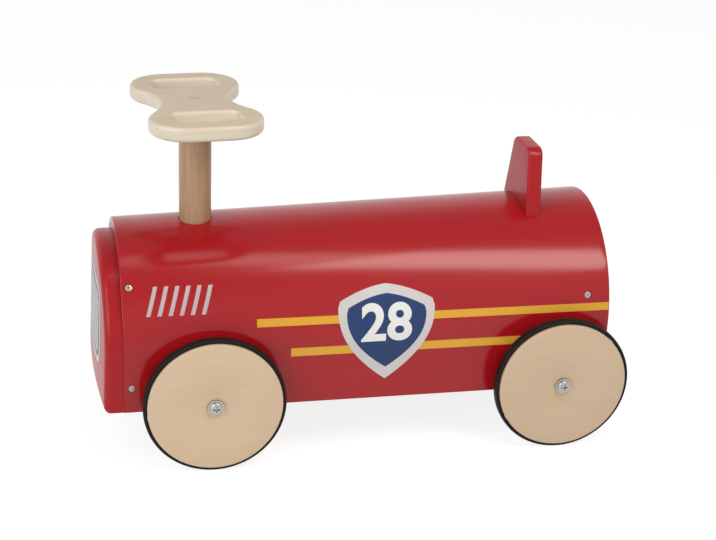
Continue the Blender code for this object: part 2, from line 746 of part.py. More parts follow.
def make_backrest(material, wood, screw_material, outside, inside):
    layers = rounded_layers(backrest_outline, BACKREST_THICKNESS, BACKREST_ROUNDING, 2)
    backrest = board("backrest", layers, material)
    for vert in backrest.data.vertices:
        across, height, depth = vert.co
        lean = (height - backrest_base_z()) * math.tan(BACKREST_RECLINE)
        vert.co = (BACKREST_FRONT_X + depth + lean, across, height)
    cut_with(backrest, [outside])
    cut_for_backrest_screws(backrest)
    centre_x = BACKREST_FRONT_X + BACKREST_THICKNESS / 2
    low = (centre_x - CLEAT_DEPTH / 2, -CLEAT_HALF_WIDTH, cleat_bottom_z())
    high = (centre_x + CLEAT_DEPTH / 2, CLEAT_HALF_WIDTH, cleat_bottom_z() + CLEAT_THICKNESS + SHELL_WALL)
    cleat = box("backrest_cleat", low, high, wood)
    cut_with(cleat, [inside], 'INTERSECT')
    cut_for_backrest_screws(cleat)
    for name, start in backrest_screw_places():
        wood_screw(name, start + Vector((0.0, 0.0, 2 * FIT_GAP)), (0.0, 0.0, 1.0),
                   backrest_screw_length(), screw_material)


# Handle

def hand_hole(centre_y, inset):
    """Outline of a hand hole with round corners; the inset widens it at the rounded edges."""
    half_length = HAND_HOLE_LENGTH / 2 + inset
    half_width = HAND_HOLE_WIDTH / 2 + inset
    radius = HAND_HOLE_CORNER + inset
    points = []
    corners = (
        (half_length - radius, half_width - radius, 0.0),
        (radius - half_length, half_width - radius, 0.5 * math.pi),
        (radius - half_length, radius - half_width, math.pi),
        (half_length - radius, radius - half_width, 1.5 * math.pi),
    )
    for x, y, start in corners:
        points += arc((x, centre_y + y), radius, start, start + 0.5 * math.pi, 4)
    return points


def handle_outlines(inset):
    """The handle's outline and its two hand holes."""
    end_x = GRIP_HALF_LENGTH - GRIP_END_RADIUS
    end_y = HANDLE_HALF_SPAN - GRIP_END_RADIUS
    reach = HANDLE_WAIST_HALF_WIDTH - end_x
    waist_radius = (reach ** 2 + end_y ** 2 - GRIP_END_RADIUS ** 2) / (2 * (GRIP_END_RADIUS - reach))
    waist_x = HANDLE_WAIST_HALF_WIDTH + waist_radius
    turn = math.atan2(end_y, waist_x - end_x)
    grip = arc((end_x, end_y), GRIP_END_RADIUS - inset, -turn, 0.5 * math.pi, 9)
    waist = arc((waist_x, 0.0), waist_radius + inset, math.pi - turn, math.pi + turn, 6)[1:-1]
    right_far = grip
    left_far = [(-x, y) for x, y in reversed(grip)]
    left_waist = [(-x, y) for x, y in waist]
    left_near = [(-x, -y) for x, y in grip]
    right_near = [(x, -y) for x, y in reversed(grip)]
    right_waist = list(reversed(waist))
    outer = right_far + left_far + left_waist + left_near + right_near + right_waist
    hole_y = HANDLE_HALF_SPAN - GRIP_RIM_WIDTH - HAND_HOLE_WIDTH / 2
    return [outer, hand_hole(hole_y, inset), hand_hole(-hole_y, inset)]


def make_handle(pivot, pale_wood, dowel_wood, steel):
    layers = rounded_layers(handle_outlines, HANDLE_THICKNESS, HANDLE_ROUNDING, 2)
    handle = board("handle_board", layers, pale_wood)
    handle.location = (COLUMN_X, 0.0, HANDLE_BOTTOM_Z)
    plug_floor = HANDLE_TOP_Z - PLUG_DEPTH - 2 * FIT_GAP
    head_depth = WOOD_SCREW_HEAD_DEPTH
    seat = hole_cutter("cut_handle_seat", (COLUMN_X, 0.0, plug_floor - head_depth), (0.0, 0.0, 1.0),
                       HANDLE_THICKNESS, PLUG_RADIUS + FIT_GAP)
    shank = hole_cutter("cut_handle_shank", (COLUMN_X, 0.0, HANDLE_BOTTOM_Z - HANDLE_THICKNESS),
                        (0.0, 0.0, 1.0), 2 * HANDLE_THICKNESS, HANDLE_SCREW_RADIUS + FIT_GAP)
    cut_with(handle, [seat, shank])
    plug = lathe("handle_plug", [
        (0.0, 0.0),
        (PLUG_RADIUS, 0.0),
        (PLUG_RADIUS, PLUG_DEPTH),
        (0.0, PLUG_DEPTH),
    ], 16, dowel_wood)
    plug.location = (COLUMN_X, 0.0, HANDLE_TOP_Z - PLUG_DEPTH)
    screw = lathe("handle_screw", [
        (0.0, 0.0),
        (HANDLE_SCREW_HEAD_RADIUS, 0.0),
        (HANDLE_SCREW_HEAD_RADIUS, head_depth - FIT_GAP),
        (HANDLE_SCREW_RADIUS, head_depth - FIT_GAP),
        (HANDLE_SCREW_RADIUS, HANDLE_SCREW_LENGTH - 2 * HANDLE_SCREW_RADIUS),
        (0.0, HANDLE_SCREW_LENGTH),
    ], 12, steel)
    point_along(screw, (COLUMN_X, 0.0, plug_floor), (0.0, 0.0, -1.0))
    pieces = [handle, plug, screw, seat, shank]
    dowel_bottom = HANDLE_BOTTOM_Z - HANDLE_DOWEL_LENGTH / 2
    for label, sign in (("front", -1.0), ("rear", 1.0)):
        place = Vector((COLUMN_X + sign * HANDLE_DOWEL_OFFSET, 0.0, dowel_bottom))
        dowel = lathe("handle_dowel_" + label, [
            (0.0, 0.0),
            (HANDLE_DOWEL_RADIUS, 0.0),
            (HANDLE_DOWEL_RADIUS, HANDLE_DOWEL_LENGTH),
            (0.0, HANDLE_DOWEL_LENGTH),
        ], 12, dowel_wood)
        dowel.location = place
        hole = dowel_hole("cut_handle_" + label, place)
        cut_with(handle, [hole])
        pieces += [dowel, hole]
    for piece in pieces:
        attach(piece, pivot)


def dowel_hole(name, place):
    return hole_cutter(name, place - Vector((0.0, 0.0, FIT_GAP)), (0.0, 0.0, 1.0),
                       HANDLE_DOWEL_LENGTH + 2 * FIT_GAP, HANDLE_DOWEL_RADIUS + FIT_GAP, 12)


def make_column(pivot, wood, steel):
    shoulder = BEAM_TOP_Z + RUN_GAP
    foot = BEAM_BOTTOM_Z + SPIGOT_RECESS_DEPTH - FIT_GAP
    top = HANDLE_BOTTOM_Z - FIT_GAP
    column = lathe("handle_column", [
        (0.0, foot),
        (COLUMN_SPIGOT_RADIUS, foot),
        (COLUMN_SPIGOT_RADIUS, shoulder),
        (COLUMN_RADIUS, shoulder),
        (COLUMN_RADIUS, top),
        (0.0, top),
    ], 32, wood)
    column.location = (COLUMN_X, 0.0, 0.0)
    cutters = [
        hole_cutter("cut_column_top", (COLUMN_X, 0.0, HANDLE_TOP_Z), (0.0, 0.0, -1.0),
                    PLUG_DEPTH + 3 * FIT_GAP + HANDLE_SCREW_LENGTH, HANDLE_SCREW_RADIUS + FIT_GAP, 12),
        hole_cutter("cut_column_foot", (COLUMN_X, 0.0, foot - SPIGOT_RECESS_DEPTH), (0.0, 0.0, 1.0),
                    SPIGOT_RECESS_DEPTH + SPIGOT_SCREW_GRIP + FIT_GAP, HANDLE_SCREW_RADIUS + FIT_GAP, 12),
    ]
    dowel_bottom = HANDLE_BOTTOM_Z - HANDLE_DOWEL_LENGTH / 2
    for label, sign in (("front", -1.0), ("rear", 1.0)):
        place = Vector((COLUMN_X + sign * HANDLE_DOWEL_OFFSET, 0.0, dowel_bottom))
        cutters.append(dowel_hole("cut_column_" + label, place))
    pin_z = BEAM_TOP_Z + STOP_PIN_ABOVE_BEAM
    cutters.append(hole_cutter("cut_column_pin", (COLUMN_X - 2 * COLUMN_RADIUS, 0.0, pin_z), (1.0, 0.0, 0.0),
                               4 * COLUMN_RADIUS, STOP_PIN_RADIUS + FIT_GAP, 12))
    cut_with(column, cutters)
    pin_length = COLUMN_RADIUS + STOP_PIN_REACH
    pin = lathe("stop_pin", [
        (0.0, 0.0),
        (STOP_PIN_RADIUS, 0.0),
        (STOP_PIN_RADIUS, pin_length),
        (0.0, pin_length),
    ], 12, steel)
    point_along(pin, (COLUMN_X - COLUMN_RADIUS, 0.0, pin_z), (1.0, 0.0, 0.0))
    washer_top = foot - FIT_GAP
    washer = ring("spigot_washer", HANDLE_SCREW_RADIUS + FIT_GAP, SPIGOT_WASHER_RADIUS,
                  WASHER_THICKNESS, 24, steel)
    washer.location = (COLUMN_X, 0.0, washer_top - WASHER_THICKNESS)
    head_height = WOOD_SCREW_HEAD_DEPTH
    head_face = washer_top - WASHER_THICKNESS - FIT_GAP - head_height
    screw = lathe("spigot_screw", [
        (0.0, 0.0),
        (HANDLE_SCREW_HEAD_RADIUS, 0.0),
        (HANDLE_SCREW_HEAD_RADIUS, head_height),
        (HANDLE_SCREW_RADIUS, head_height),
        (HANDLE_SCREW_RADIUS, head_height + FIT_GAP + WASHER_THICKNESS + SPIGOT_SCREW_GRIP),
        (0.0, head_height + FIT_GAP + WASHER_THICKNESS + SPIGOT_SCREW_GRIP),
    ], 12, steel)
    screw.location = (COLUMN_X, 0.0, head_face)
    for piece in [column, pin, washer, screw] + cutters:
        attach(piece, pivot)


def ring(name, inner, outer, thickness, segments, material):
    profile = [(inner, 0.0), (outer, 0.0), (outer, thickness), (inner, thickness)]
    return lathe(name, profile, segments, material)


# Wheels

def make_wheel(label, axle_x, side, woods, rubber, plastic, steel):
    outward = Vector((0.0, side, 0.0))
    side_face = Vector((axle_x, side * SHELL_HALF_WIDTH, AXLE_HEIGHT))
    hub = joint_empty(label + "_wheel_axis", side_face + outward * WHEEL_INNER)
    chamfer = WHEEL_CHAMFER
    bore = BUSHING_RADIUS + FIT_GAP
    wheel = lathe(label + "_wheel", [
        (bore, 0.0),
        (WHEEL_RADIUS - chamfer, 0.0),
        (WHEEL_RADIUS, chamfer),
        (WHEEL_RADIUS, WHEEL_THICKNESS - chamfer),
        (WHEEL_RADIUS - chamfer, WHEEL_THICKNESS),
        (bore, WHEEL_THICKNESS),
    ], WHEEL_SEGMENTS, woods)
    point_along(wheel, side_face + outward * WHEEL_INNER, outward)

    tyre_back = WHEEL_OUTER - TYRE_SETBACK - TYRE_WIDTH
    tyre = lathe(label + "_tyre", [
        (WHEEL_RADIUS + FIT_GAP, 0.0),
        (TYRE_RADIUS - TYRE_ROUNDING, 0.0),
        (TYRE_RADIUS, TYRE_ROUNDING),
        (TYRE_RADIUS, TYRE_WIDTH - TYRE_ROUNDING),
        (TYRE_RADIUS - TYRE_ROUNDING, TYRE_WIDTH),
        (WHEEL_RADIUS + FIT_GAP, TYRE_WIDTH),
    ], WHEEL_SEGMENTS, rubber)
    point_along(tyre, side_face + outward * tyre_back, outward)

    shank_hole = (SCREW_SHANK_RADIUS + RUN_GAP) / math.cos(math.pi / 20)
    flange = BUSHING_FLANGE_THICKNESS
    bushing_end = flange + FIT_GAP + WHEEL_THICKNESS
    bushing = lathe(label + "_hub_bushing", [
        (shank_hole, 0.0),
        (BUSHING_FLANGE_RADIUS, 0.0),
        (BUSHING_FLANGE_RADIUS, flange),
        (BUSHING_RADIUS, flange),
        (BUSHING_RADIUS, bushing_end),
        (shank_hole, bushing_end),
    ], 20, plastic)
    point_along(bushing, side_face + outward * FLANGE_INNER, outward)
    for piece in (wheel, tyre, bushing):
        attach(piece, hub)

    spacer = ring(label + "_spacer", SCREW_SHANK_RADIUS + FIT_GAP, SPACER_RADIUS, SPACER_LENGTH, 20, plastic)
    point_along(spacer, side_face + outward * FIT_GAP, outward)
    washer = ring(label + "_washer", SCREW_SHANK_RADIUS + FIT_GAP, WASHER_RADIUS, WASHER_THICKNESS, 20, steel)
    point_along(washer, side_face + outward * WASHER_INNER, outward)

    shank_length = HEAD_INNER + SHELL_WALL + SCREW_GRIP_IN_BEAM
    screw = lathe(label + "_wheel_screw", [
        (0.0, 0.0),
        (SCREW_HEAD_RADIUS * SCREW_CROWN_TOP_SHARE, 0.0),
        (SCREW_HEAD_RADIUS * SCREW_CROWN_EDGE_SHARE, SCREW_HEAD_HEIGHT * SCREW_CROWN_HEIGHT_SHARE),
        (SCREW_HEAD_RADIUS, SCREW_HEAD_HEIGHT),
        (SCREW_SHANK_RADIUS, SCREW_HEAD_HEIGHT),
        (SCREW_SHANK_RADIUS, SCREW_HEAD_HEIGHT + shank_length - SCREW_SHANK_RADIUS),
        (SCREW_SHANK_RADIUS / 2, SCREW_HEAD_HEIGHT + shank_length),
        (0.0, SCREW_HEAD_HEIGHT + shank_length),
    ], 16, steel)
    head_face = side_face + outward * (HEAD_INNER + SCREW_HEAD_HEIGHT)
    point_along(screw, head_face, -outward)
    cut_cross_recess(screw, SCREW_RECESS_REACH, SCREW_RECESS_WIDTH, SCREW_RECESS_DEPTH)


def main():
    remove_everything()
    red = make_material("red_lacquer", (0.42, 0.022, 0.024), 0.32)
    red_side = make_material("red_lacquer_boards", (0.40, 0.022, 0.024), 0.36)
    plywood = make_material("birch_plywood", (0.62, 0.46, 0.29), 0.55)
    beech = make_material("oiled_beech", (0.46, 0.27, 0.14), 0.45)
    pale_birch = make_material("pale_birch", (0.74, 0.63, 0.47), 0.50)
    rubber = make_material("black_rubber", (0.012, 0.011, 0.011), 0.75)
    plastic = make_material("grey_nylon", (0.30, 0.30, 0.30), 0.45)
    steel = make_material("zinc_plated_steel", (0.62, 0.62, 0.60), 0.30, 1.0)

    outside = arch_solid("guide_outside", SHELL_FRONT_X, SHELL_REAR_X, -FIT_GAP, None, SHELL_WALL)
    inside = arch_solid("guide_inside", SHELL_FRONT_X, SHELL_REAR_X, SHELL_WALL + FIT_GAP, None, SHELL_WALL)

    make_shell(red)
    make_end_boards(red_side)
    make_nose(red_side, steel)
    make_beams(plywood)
    make_stop_dowels(beech)
    make_column_block(plywood, inside)
    make_backrest(red_side, plywood, steel, outside, inside)
    make_shell_screws(steel)

    pivot = joint_empty("handle_axis", (COLUMN_X, 0.0, BEAM_TOP_Z))
    pivot.rotation_euler = (0.0, 0.0, HANDLE_REST_TURN)
    make_column(pivot, beech, steel)
    make_handle(pivot, pale_birch, beech, steel)

    for label, axle_x, side in wheel_corners():
        make_wheel(label, axle_x, side, plywood, rubber, plastic, steel)


main()
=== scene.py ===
import json
import math

import bmesh
import bpy
from mathutils import Matrix, Vector
from mathutils.geometry import tessellate_polygon

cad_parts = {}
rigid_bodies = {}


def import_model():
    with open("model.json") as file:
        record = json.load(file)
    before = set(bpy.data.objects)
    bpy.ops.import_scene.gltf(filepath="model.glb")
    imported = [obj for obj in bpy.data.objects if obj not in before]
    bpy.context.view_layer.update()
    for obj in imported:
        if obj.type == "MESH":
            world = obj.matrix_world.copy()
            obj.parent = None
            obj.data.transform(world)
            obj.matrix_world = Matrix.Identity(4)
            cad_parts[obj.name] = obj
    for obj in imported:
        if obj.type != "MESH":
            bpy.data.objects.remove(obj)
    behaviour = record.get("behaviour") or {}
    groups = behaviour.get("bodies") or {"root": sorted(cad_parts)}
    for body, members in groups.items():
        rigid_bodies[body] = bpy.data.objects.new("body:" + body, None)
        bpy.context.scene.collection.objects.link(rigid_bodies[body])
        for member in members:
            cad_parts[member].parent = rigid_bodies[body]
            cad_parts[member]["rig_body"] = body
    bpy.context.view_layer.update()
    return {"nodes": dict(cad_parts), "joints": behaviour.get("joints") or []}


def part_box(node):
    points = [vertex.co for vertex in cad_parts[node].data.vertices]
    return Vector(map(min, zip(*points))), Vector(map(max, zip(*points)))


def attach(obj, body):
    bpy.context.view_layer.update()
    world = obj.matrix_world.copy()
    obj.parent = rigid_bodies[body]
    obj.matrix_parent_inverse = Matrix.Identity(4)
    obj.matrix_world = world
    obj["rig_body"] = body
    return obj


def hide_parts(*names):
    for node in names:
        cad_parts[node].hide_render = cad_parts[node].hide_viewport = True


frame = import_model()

# Places that come from the CAD model
shell_low, shell_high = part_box("body_shell")
SHELL_RADIUS = shell_high.y
SHELL_WALL = 0.007
EDGE_Z = shell_low.z
FRONT_X = shell_low.x
REAR_X = shell_high.x
FRONT_TOP = max(v.co.z for v in frame["nodes"]["body_shell"].data.vertices if v.co.x < FRONT_X + 0.001)
REAR_TOP = shell_high.z
joint_places = {joint["name"]: Vector(joint["pos_m"]) for joint in frame["joints"]}
FRONT_AXLE = joint_places["front_left_roll"]
COLUMN = joint_places["handle_turn"]
WHEEL_INNER, WHEEL_OUTER = (corner.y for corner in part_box("front_right_wheel"))
REAR_BOARD_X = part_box("rear_bulkhead")[1].x
nose_low, nose_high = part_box("nose_panel")

# Sizes that repeat the CAD model's own
QUARTER_TURN = math.pi / 2
QUARTER_RUN = QUARTER_TURN * SHELL_RADIUS
SIDE_RUN = 0.065
SHELL_EDGE_RADIUS = 0.0009
COLUMN_HOLE_RADIUS = 0.0173
# Height of the shell screws above the shell's lower edge
SHELL_SCREW_HEIGHTS = {"front_upper": 0.1256, "rear_upper": 0.1016, "lower": 0.0266}
CLEARANCE = 0.0003
SHELL_SCREW_RADIUS = 0.0034
SHELL_SCREW_SHANK = 0.0020
# Distances from a shell screw's face to the end of its head, of its shank and of its tip
SHELL_SCREW_ENDS = (0.0022, 0.0240, 0.0278)
SHELL_SCREW_SINK = 0.0003
INWARD_PROBE_DEPTH = 0.001
SHELL_SCREW_ROUNDING = 0.00025
NOSE_FOOT_THICKNESS = 0.0240
NOSE_DOME = 0.0045
NOSE_LEAN = 0.035
NOSE_EDGE_ROUNDING = 0.0065
SEAM_FILL = 0.00025
BACKREST_THICKNESS = 0.016
BACKREST_FRONT_X = joint_places["rear_left_roll"].x - 0.0155 - BACKREST_THICKNESS / 2
BACKREST_RECLINE = math.radians(2.2)
BACKREST_BASE_HALF = 0.041
BACKREST_TOP_HALF = 0.0255
BACKREST_CORNER = 0.011
BACKREST_ROUNDING = 0.0025
HANDLE_REST_TURN = math.radians(3.5)
HANDLE_HALF_SPAN = 0.097
GRIP_HALF_LENGTH = 0.0565
GRIP_END_RADIUS = 0.0370
HANDLE_WAIST_HALF = 0.036
HAND_HOLE_LENGTH = 0.067
HAND_HOLE_WIDTH = 0.035
HAND_HOLE_CORNER = 0.0080
GRIP_RIM_WIDTH = 0.0195
HANDLE_ROUNDING = 0.0048
PLUG_RADIUS = 0.0050
PLUG_ROUNDING = 0.00035
COLUMN_RADIUS = 0.0165
COLUMN_ROUNDING = 0.0003
SPIGOT_RADIUS = 0.010
SHOULDER_GAP = 0.0004
WHEEL_RADIUS = 0.068
WHEEL_PLIES = 11
TYRE_RADIUS = FRONT_AXLE.z
TYRE_CROWN = 0.0003
HUB_BORE = 0.0078
SCREW_BORE = 0.0043
WASHER_RADIUS = 0.0086
SPACER_RADIUS = 0.0100
SCREW_HEAD_RADIUS = 0.0066
SCREW_HEAD_HEIGHT = 0.0034
SCREW_DOME = 0.0024
SCREW_SHANK = 0.0040
SCREW_TIP_LENGTH = 0.004
SCREW_TIP_RADIUS = 0.002
# Reach, width and depth of the cross cut into a screw's head
SHELL_SCREW_CROSS = (0.0022, 0.0010, 0.0012)
WHEEL_SCREW_CROSS = (0.0040, 0.0017, 0.0021)
# Widths of the cross at its tips, opening and bottom, as shares of its width
CROSS_SHARES = (0.42, 1.25, 0.62)
# Softening of the edges of pieces that keep the CAD model's own shape
BLOCK_ROUNDING = 0.0008
DOWEL_ROUNDING = 0.0003
METAL_ROUNDING = 0.0002

# Fineness of the meshes
SMOOTH_ANGLE = math.radians(35)
SHARP_ANGLE = math.radians(38)
FLAT_ANGLE = math.radians(0.5)
WELD_DISTANCE = 0.00001
SHEET_WELD_DISTANCE = 0.000001
CUT_TOLERANCE = 0.0000005
TURNED_SEGMENTS = 96
WHEEL_SEGMENTS = 128
WASHER_SEGMENTS = 64
SMALL_SEGMENTS = 48
SHELL_SCREW_SEGMENTS = 40
SHELL_STEP_ALONG = 0.030
SHELL_STEP_ROUND = 0.0025
HOLE_STEPS = 48
RIM_STEPS = 4
NOSE_SIDE_STEPS = 6
NOSE_ARCH_STEPS = 96
NOSE_FOOT_STEPS = 24
NOSE_EDGE_STEPS = 8
NOSE_FACE_RINGS = 12
BACKREST_CORNER_STEPS = 12
BACKREST_FOOT_STEPS = 24
BACKREST_EDGE_STEPS = 5
GRIP_STEPS = 28
WAIST_STEPS = 16
HAND_HOLE_STEPS = 10
PLUG_HOLE_STEPS = 32
HANDLE_EDGE_STEPS = 6
SCREW_DOME_STEPS = 10
SHIELD_TOP_STEPS = 12
SHIELD_SIDE_STEPS = 24
NUMBER_CURVE_STEPS = 6
PRINT_STEP_ALONG = 0.020
PRINT_STEP_UP = 0.003
GRILLE_STEPS = (0.006, 0.006)
GRILLE_CORNER_STEPS = 8

# Camera, as fitted to the photograph
CAMERA_FROM_AXLE = Vector((-0.2016, -1.5872, 0.7510))
CAMERA_YAW = math.radians(13.17)
CAMERA_PITCH = math.radians(22.20)
CAMERA_ROLL = math.radians(2.39)
CAMERA_LENS = 82.86
CAMERA_SENSOR = 36.0

# Studio lights
WORLD_STRENGTH = 0.37
# Reflections show a white surrounding up to the first height and the dim ceiling above the second
CEILING_START = 0.50
CEILING_END = 0.80
CEILING_STRENGTH = 0.20
STRIP_TARGET = (0.05, -0.07, 0.19)
STRIP_TINT = (1.0, 0.94, 0.86)
NEUTRAL = (1.0, 1.0, 1.0)
# Name, place, target, length, width, power, colour and direction along the length of each light
LIGHTS = (
    ("key_softbox", (-1.75, -1.25, 1.10), (0.0, 0.0, 0.12), 2.1, 1.4, 18.8, NEUTRAL, None),
    ("fill_softbox", (-0.75, -0.35, 0.95), (-0.16, 0.0, 0.16), 0.50, 0.50, 1.6, NEUTRAL, None),
    ("strip_rear", (0.478, -0.736, 1.20), STRIP_TARGET, 0.88, 0.32, 7.3, STRIP_TINT, (0.77, -0.75, 0.0)),
    ("strip_front", (0.035, -0.297, 1.20), STRIP_TARGET, 0.28, 0.20, 0.60, STRIP_TINT, (0.68, -0.73, 0.0)),
    ("strip_tip", (-0.145, -0.104, 1.20), STRIP_TARGET, 0.25, 0.22, 0.32, STRIP_TINT, (0.68, -0.73, 0.0)),
)
WHITE = (1.0, 1.0, 1.0, 1.0)
FLOOR_HALF_SIZE = 12.0
FLOOR_HEIGHT = -0.0002
FLOOR_COLOUR = (0.93, 0.93, 0.93, 1.0)
FLOOR_ROUGHNESS = 0.9
FLOOR_GLOSS = 0.1
FLOOR_GLOW = 0.65
FLOOR_GLOW_STRENGTH = 1.28

# Printed artwork, in metres along the car and above the floor
# Each stripe's front end, height of its middle and half width
UPPER_STRIPE = (-0.1166, 0.14810, 0.00405)
LOWER_STRIPE = (-0.0820, 0.11560, 0.00450)
STRIPE_REAR_GAP = 0.0010
SHIELD_CENTRE = (0.0165, 0.1360)
SHIELD_HALF_WIDTH = 0.0500
SHIELD_TOP = 0.0440
SHIELD_SHOULDER = 0.0290
SHIELD_TIP = -0.0555
SHIELD_BORDER = 0.0088
# The border's width at the shoulders and the tip, as shares of its width at the sides
SHIELD_SHOULDER_INSET = 0.75
SHIELD_TIP_INSET = 1.5
SHIELD_TOP_WIDTH = 0.96
SHIELD_TOP_SLOPE = 0.35
SHIELD_CORNER_DROP = 0.003
SHIELD_SIDE_POWER = 2.1
SHIELD_SIDE_BULGE = 0.10
NUMBER_TEXT = "28"
NUMBER_HEIGHT = 0.0400
NUMBER_RISE = 0.0065
NUMBER_WEIGHT = 0.028
NUMBER_SPACING = 1.02
LOUVRE_COUNT = 6
LOUVRE_START = (-0.2265, 0.1590)
LOUVRE_PITCH = 0.0110
LOUVRE_LEAN = 0.0085
LOUVRE_RISE = 0.0255
LOUVRE_WIDTH = 0.0042
GRILLE_CENTRE = 0.074
# Half width, half height and corner radius
GRILLE_FRAME = (0.066, 0.043, 0.022)
GRILLE_FIELD = (0.060, 0.037, 0.017)
GRILLE_BARS_EACH_SIDE = 6
GRILLE_BAR_PITCH = 0.0084
GRILLE_BAR_HALF_WIDTH = 0.0026
GRILLE_BAR_HALF_HEIGHT = 0.033
GRILLE_END_BAR_HALF_HEIGHT = 0.028
PRINT_LIFT = 0.00010
PRINT_THICKNESS = 0.00006
PRINT_GLOSS = 0.25

# Colours of the lacquer
RED_LIGHT = (0.382, 0.0040, 0.0085)
RED_DEEP = (0.318, 0.0025, 0.0060)
RED_PORE = (0.10, 0.004, 0.006)
# Light, dark and pore colour of each wood
BARE_PLYWOOD = ((0.640, 0.460, 0.275), (0.500, 0.330, 0.180), (0.300, 0.175, 0.085))
BEAM_PLYWOOD = ((0.600, 0.420, 0.240), (0.480, 0.310, 0.165), (0.300, 0.175, 0.085))
WHEEL_BIRCH = ((0.700, 0.530, 0.365), (0.640, 0.465, 0.305), (0.480, 0.330, 0.200))
BLOCK_BEECH = ((0.560, 0.350, 0.195), (0.440, 0.255, 0.130), (0.250, 0.130, 0.060))
COLUMN_BEECH = ((0.480, 0.310, 0.175), (0.360, 0.215, 0.110), (0.200, 0.105, 0.050))
HANDLE_MAPLE = ((0.735, 0.670, 0.545), (0.650, 0.565, 0.435), (0.370, 0.262, 0.135))
DOWEL_BEECH = ((0.500, 0.395, 0.275), (0.400, 0.300, 0.195), (0.250, 0.165, 0.095))
GLUE_LINE = (0.16, 0.09, 0.045)
BEAM_PLY = 0.0014
# Painted shade: the wheels' birch is darkened, the rear wheels more than the front ones
WHEEL_SHADE_FRONT = 0.98
WHEEL_SHADE_REAR = 0.90
# Colour, worn colour and roughness of each printed ink
INKS = {
    "yellow": ((0.730, 0.392, 0.040), (0.620, 0.316, 0.031), 0.34),
    "silver": ((0.630, 0.605, 0.605), (0.495, 0.475, 0.475), 0.36),
    "dull_silver": ((0.530, 0.440, 0.455), (0.420, 0.330, 0.345), 0.40),
    "blue": ((0.020, 0.050, 0.150), (0.016, 0.036, 0.105), 0.34),
    "white": ((0.800, 0.800, 0.790), (0.680, 0.680, 0.670), 0.36),
    "dark": ((0.060, 0.058, 0.060), (0.035, 0.034, 0.036), 0.40),
}
# Other materials
RUBBER_BLACK = (0.008, 0.007, 0.007)
RUBBER_DUST = (0.028, 0.025, 0.023)
# Colour, its share where worn, scale and cover of the clouds, stretch, scale and detail of the fine marks,
# range of the roughness, and metallic
ZINC_PLATED_STEEL = ((0.47, 0.45, 0.43), 0.72, 160.0, 0.35, (1.0, 8.0, 1.0), 700.0, 3.0, (0.27, 0.44), 1.0)
GREY_NYLON = ((0.34, 0.34, 0.33), 0.80, 70.0, 0.40, (1.0, 1.0, 1.0), 1500.0, 2.0, (0.39, 0.51), 0.0)
WOOD_COAT_ROUGHNESS = 0.30
LACQUER_ROUGHNESS = 0.42
LACQUER_COAT_ROUGHNESS = 0.17
RUBBER_GLOSS = 0.18


# Shader helpers

def start_material(name):
    material = bpy.data.materials.new(name)
    material.use_nodes = True
    tree = material.node_tree
    return material, tree, tree.nodes["Principled BSDF"]


def feed(tree, node, inputs):
    """Give a node its inputs, each a plain value or another node's output."""
    for key, value in inputs.items():
        if isinstance(value, bpy.types.NodeSocket):
            tree.links.new(value, node.inputs[key])
        else:
            node.inputs[key].default_value = value


def add_node(tree, kind, inputs, **settings):
    node = tree.nodes.new(kind)
    for key, value in settings.items():
        setattr(node, key, value)
    feed(tree, node, inputs)
    return node


def math_node(tree, operation, first, second=0.0, clamp=False):
    inputs = {0: first, 1: second}
    return add_node(tree, "ShaderNodeMath", inputs, operation=operation, use_clamp=clamp).outputs[0]


def share_of(tree, value, share):
    return math_node(tree, "MULTIPLY", value, share)


def own_place(tree, output="Object"):
    return add_node(tree, "ShaderNodeTexCoord", {}).outputs[output]


def axis_of(tree, vector, axis):
    return add_node(tree, "ShaderNodeSeparateXYZ", {0: vector}).outputs[axis]


def coordinates(tree, scale=(1.0, 1.0, 1.0), turn=(0.0, 0.0, 0.0), shift=(0.0, 0.0, 0.0)):
    """Object coordinates, turned first and then stretched."""
    inputs = {"Vector": own_place(tree), "Rotation": turn, "Location": shift}
    turned_place = add_node(tree, "ShaderNodeMapping", inputs).outputs[0]
    return add_node(tree, "ShaderNodeMapping", {"Vector": turned_place, "Scale": scale}).outputs[0]


def noise(tree, scale, detail=3.0, roughness=0.55, distortion=0.0, place=None):
    vector = coordinates(tree) if place is None else place
    inputs = {"Vector": vector, "Scale": scale, "Detail": detail, "Roughness": roughness,
              "Distortion": distortion}
    return add_node(tree, "ShaderNodeTexNoise", inputs).outputs["Fac"]


def spread(tree, value, low, high, to_low=0.0, to_high=1.0):
    """Map a value from one range to another, clamped."""
    inputs = {"Value": value, "From Min": low, "From Max": high, "To Min": to_low, "To Max": to_high}
    return add_node(tree, "ShaderNodeMapRange", inputs).outputs[0]


def mix(tree, factor, first, second):
    """Mix two colours, each a plain one or a node's output."""
    inputs = {0: factor}
    # A colour mix takes its two colours at these places among its inputs
    for place, colour in ((6, first), (7, second)):
        inputs[place] = (*colour, 1.0) if isinstance(colour, tuple) else colour
    return add_node(tree, "ShaderNodeMix", inputs, data_type="RGBA").outputs[2]


def bump(tree, shader, height, distance, strength):
    inputs = {"Height": height, "Distance": distance, "Strength": strength}
    feed(tree, shader, {"Normal": add_node(tree, "ShaderNodeBump", inputs).outputs[0]})


# Materials

def wood_pattern(tree, turn, shift, ring_scale):
    """Growth rings, fine fibres and small pores of a board whose grain runs along X once turned."""

    def grain(stretch, scale, detail, roughness, low, high, distortion=0.0):
        place = coordinates(tree, (1.0, stretch, stretch), turn, shift)
        return spread(tree, noise(tree, scale, detail, roughness, distortion, place), low, high)

    rings = grain(9.0, ring_scale, detail=4.0, roughness=0.6, low=0.34, high=0.66, distortion=1.4)
    fibres = grain(26.0, scale=42.0, detail=5.0, roughness=0.65, low=0.30, high=0.70)
    pores = grain(14.0, scale=120.0, detail=2.0, roughness=0.5, low=0.66, high=0.74)
    return rings, fibres, pores


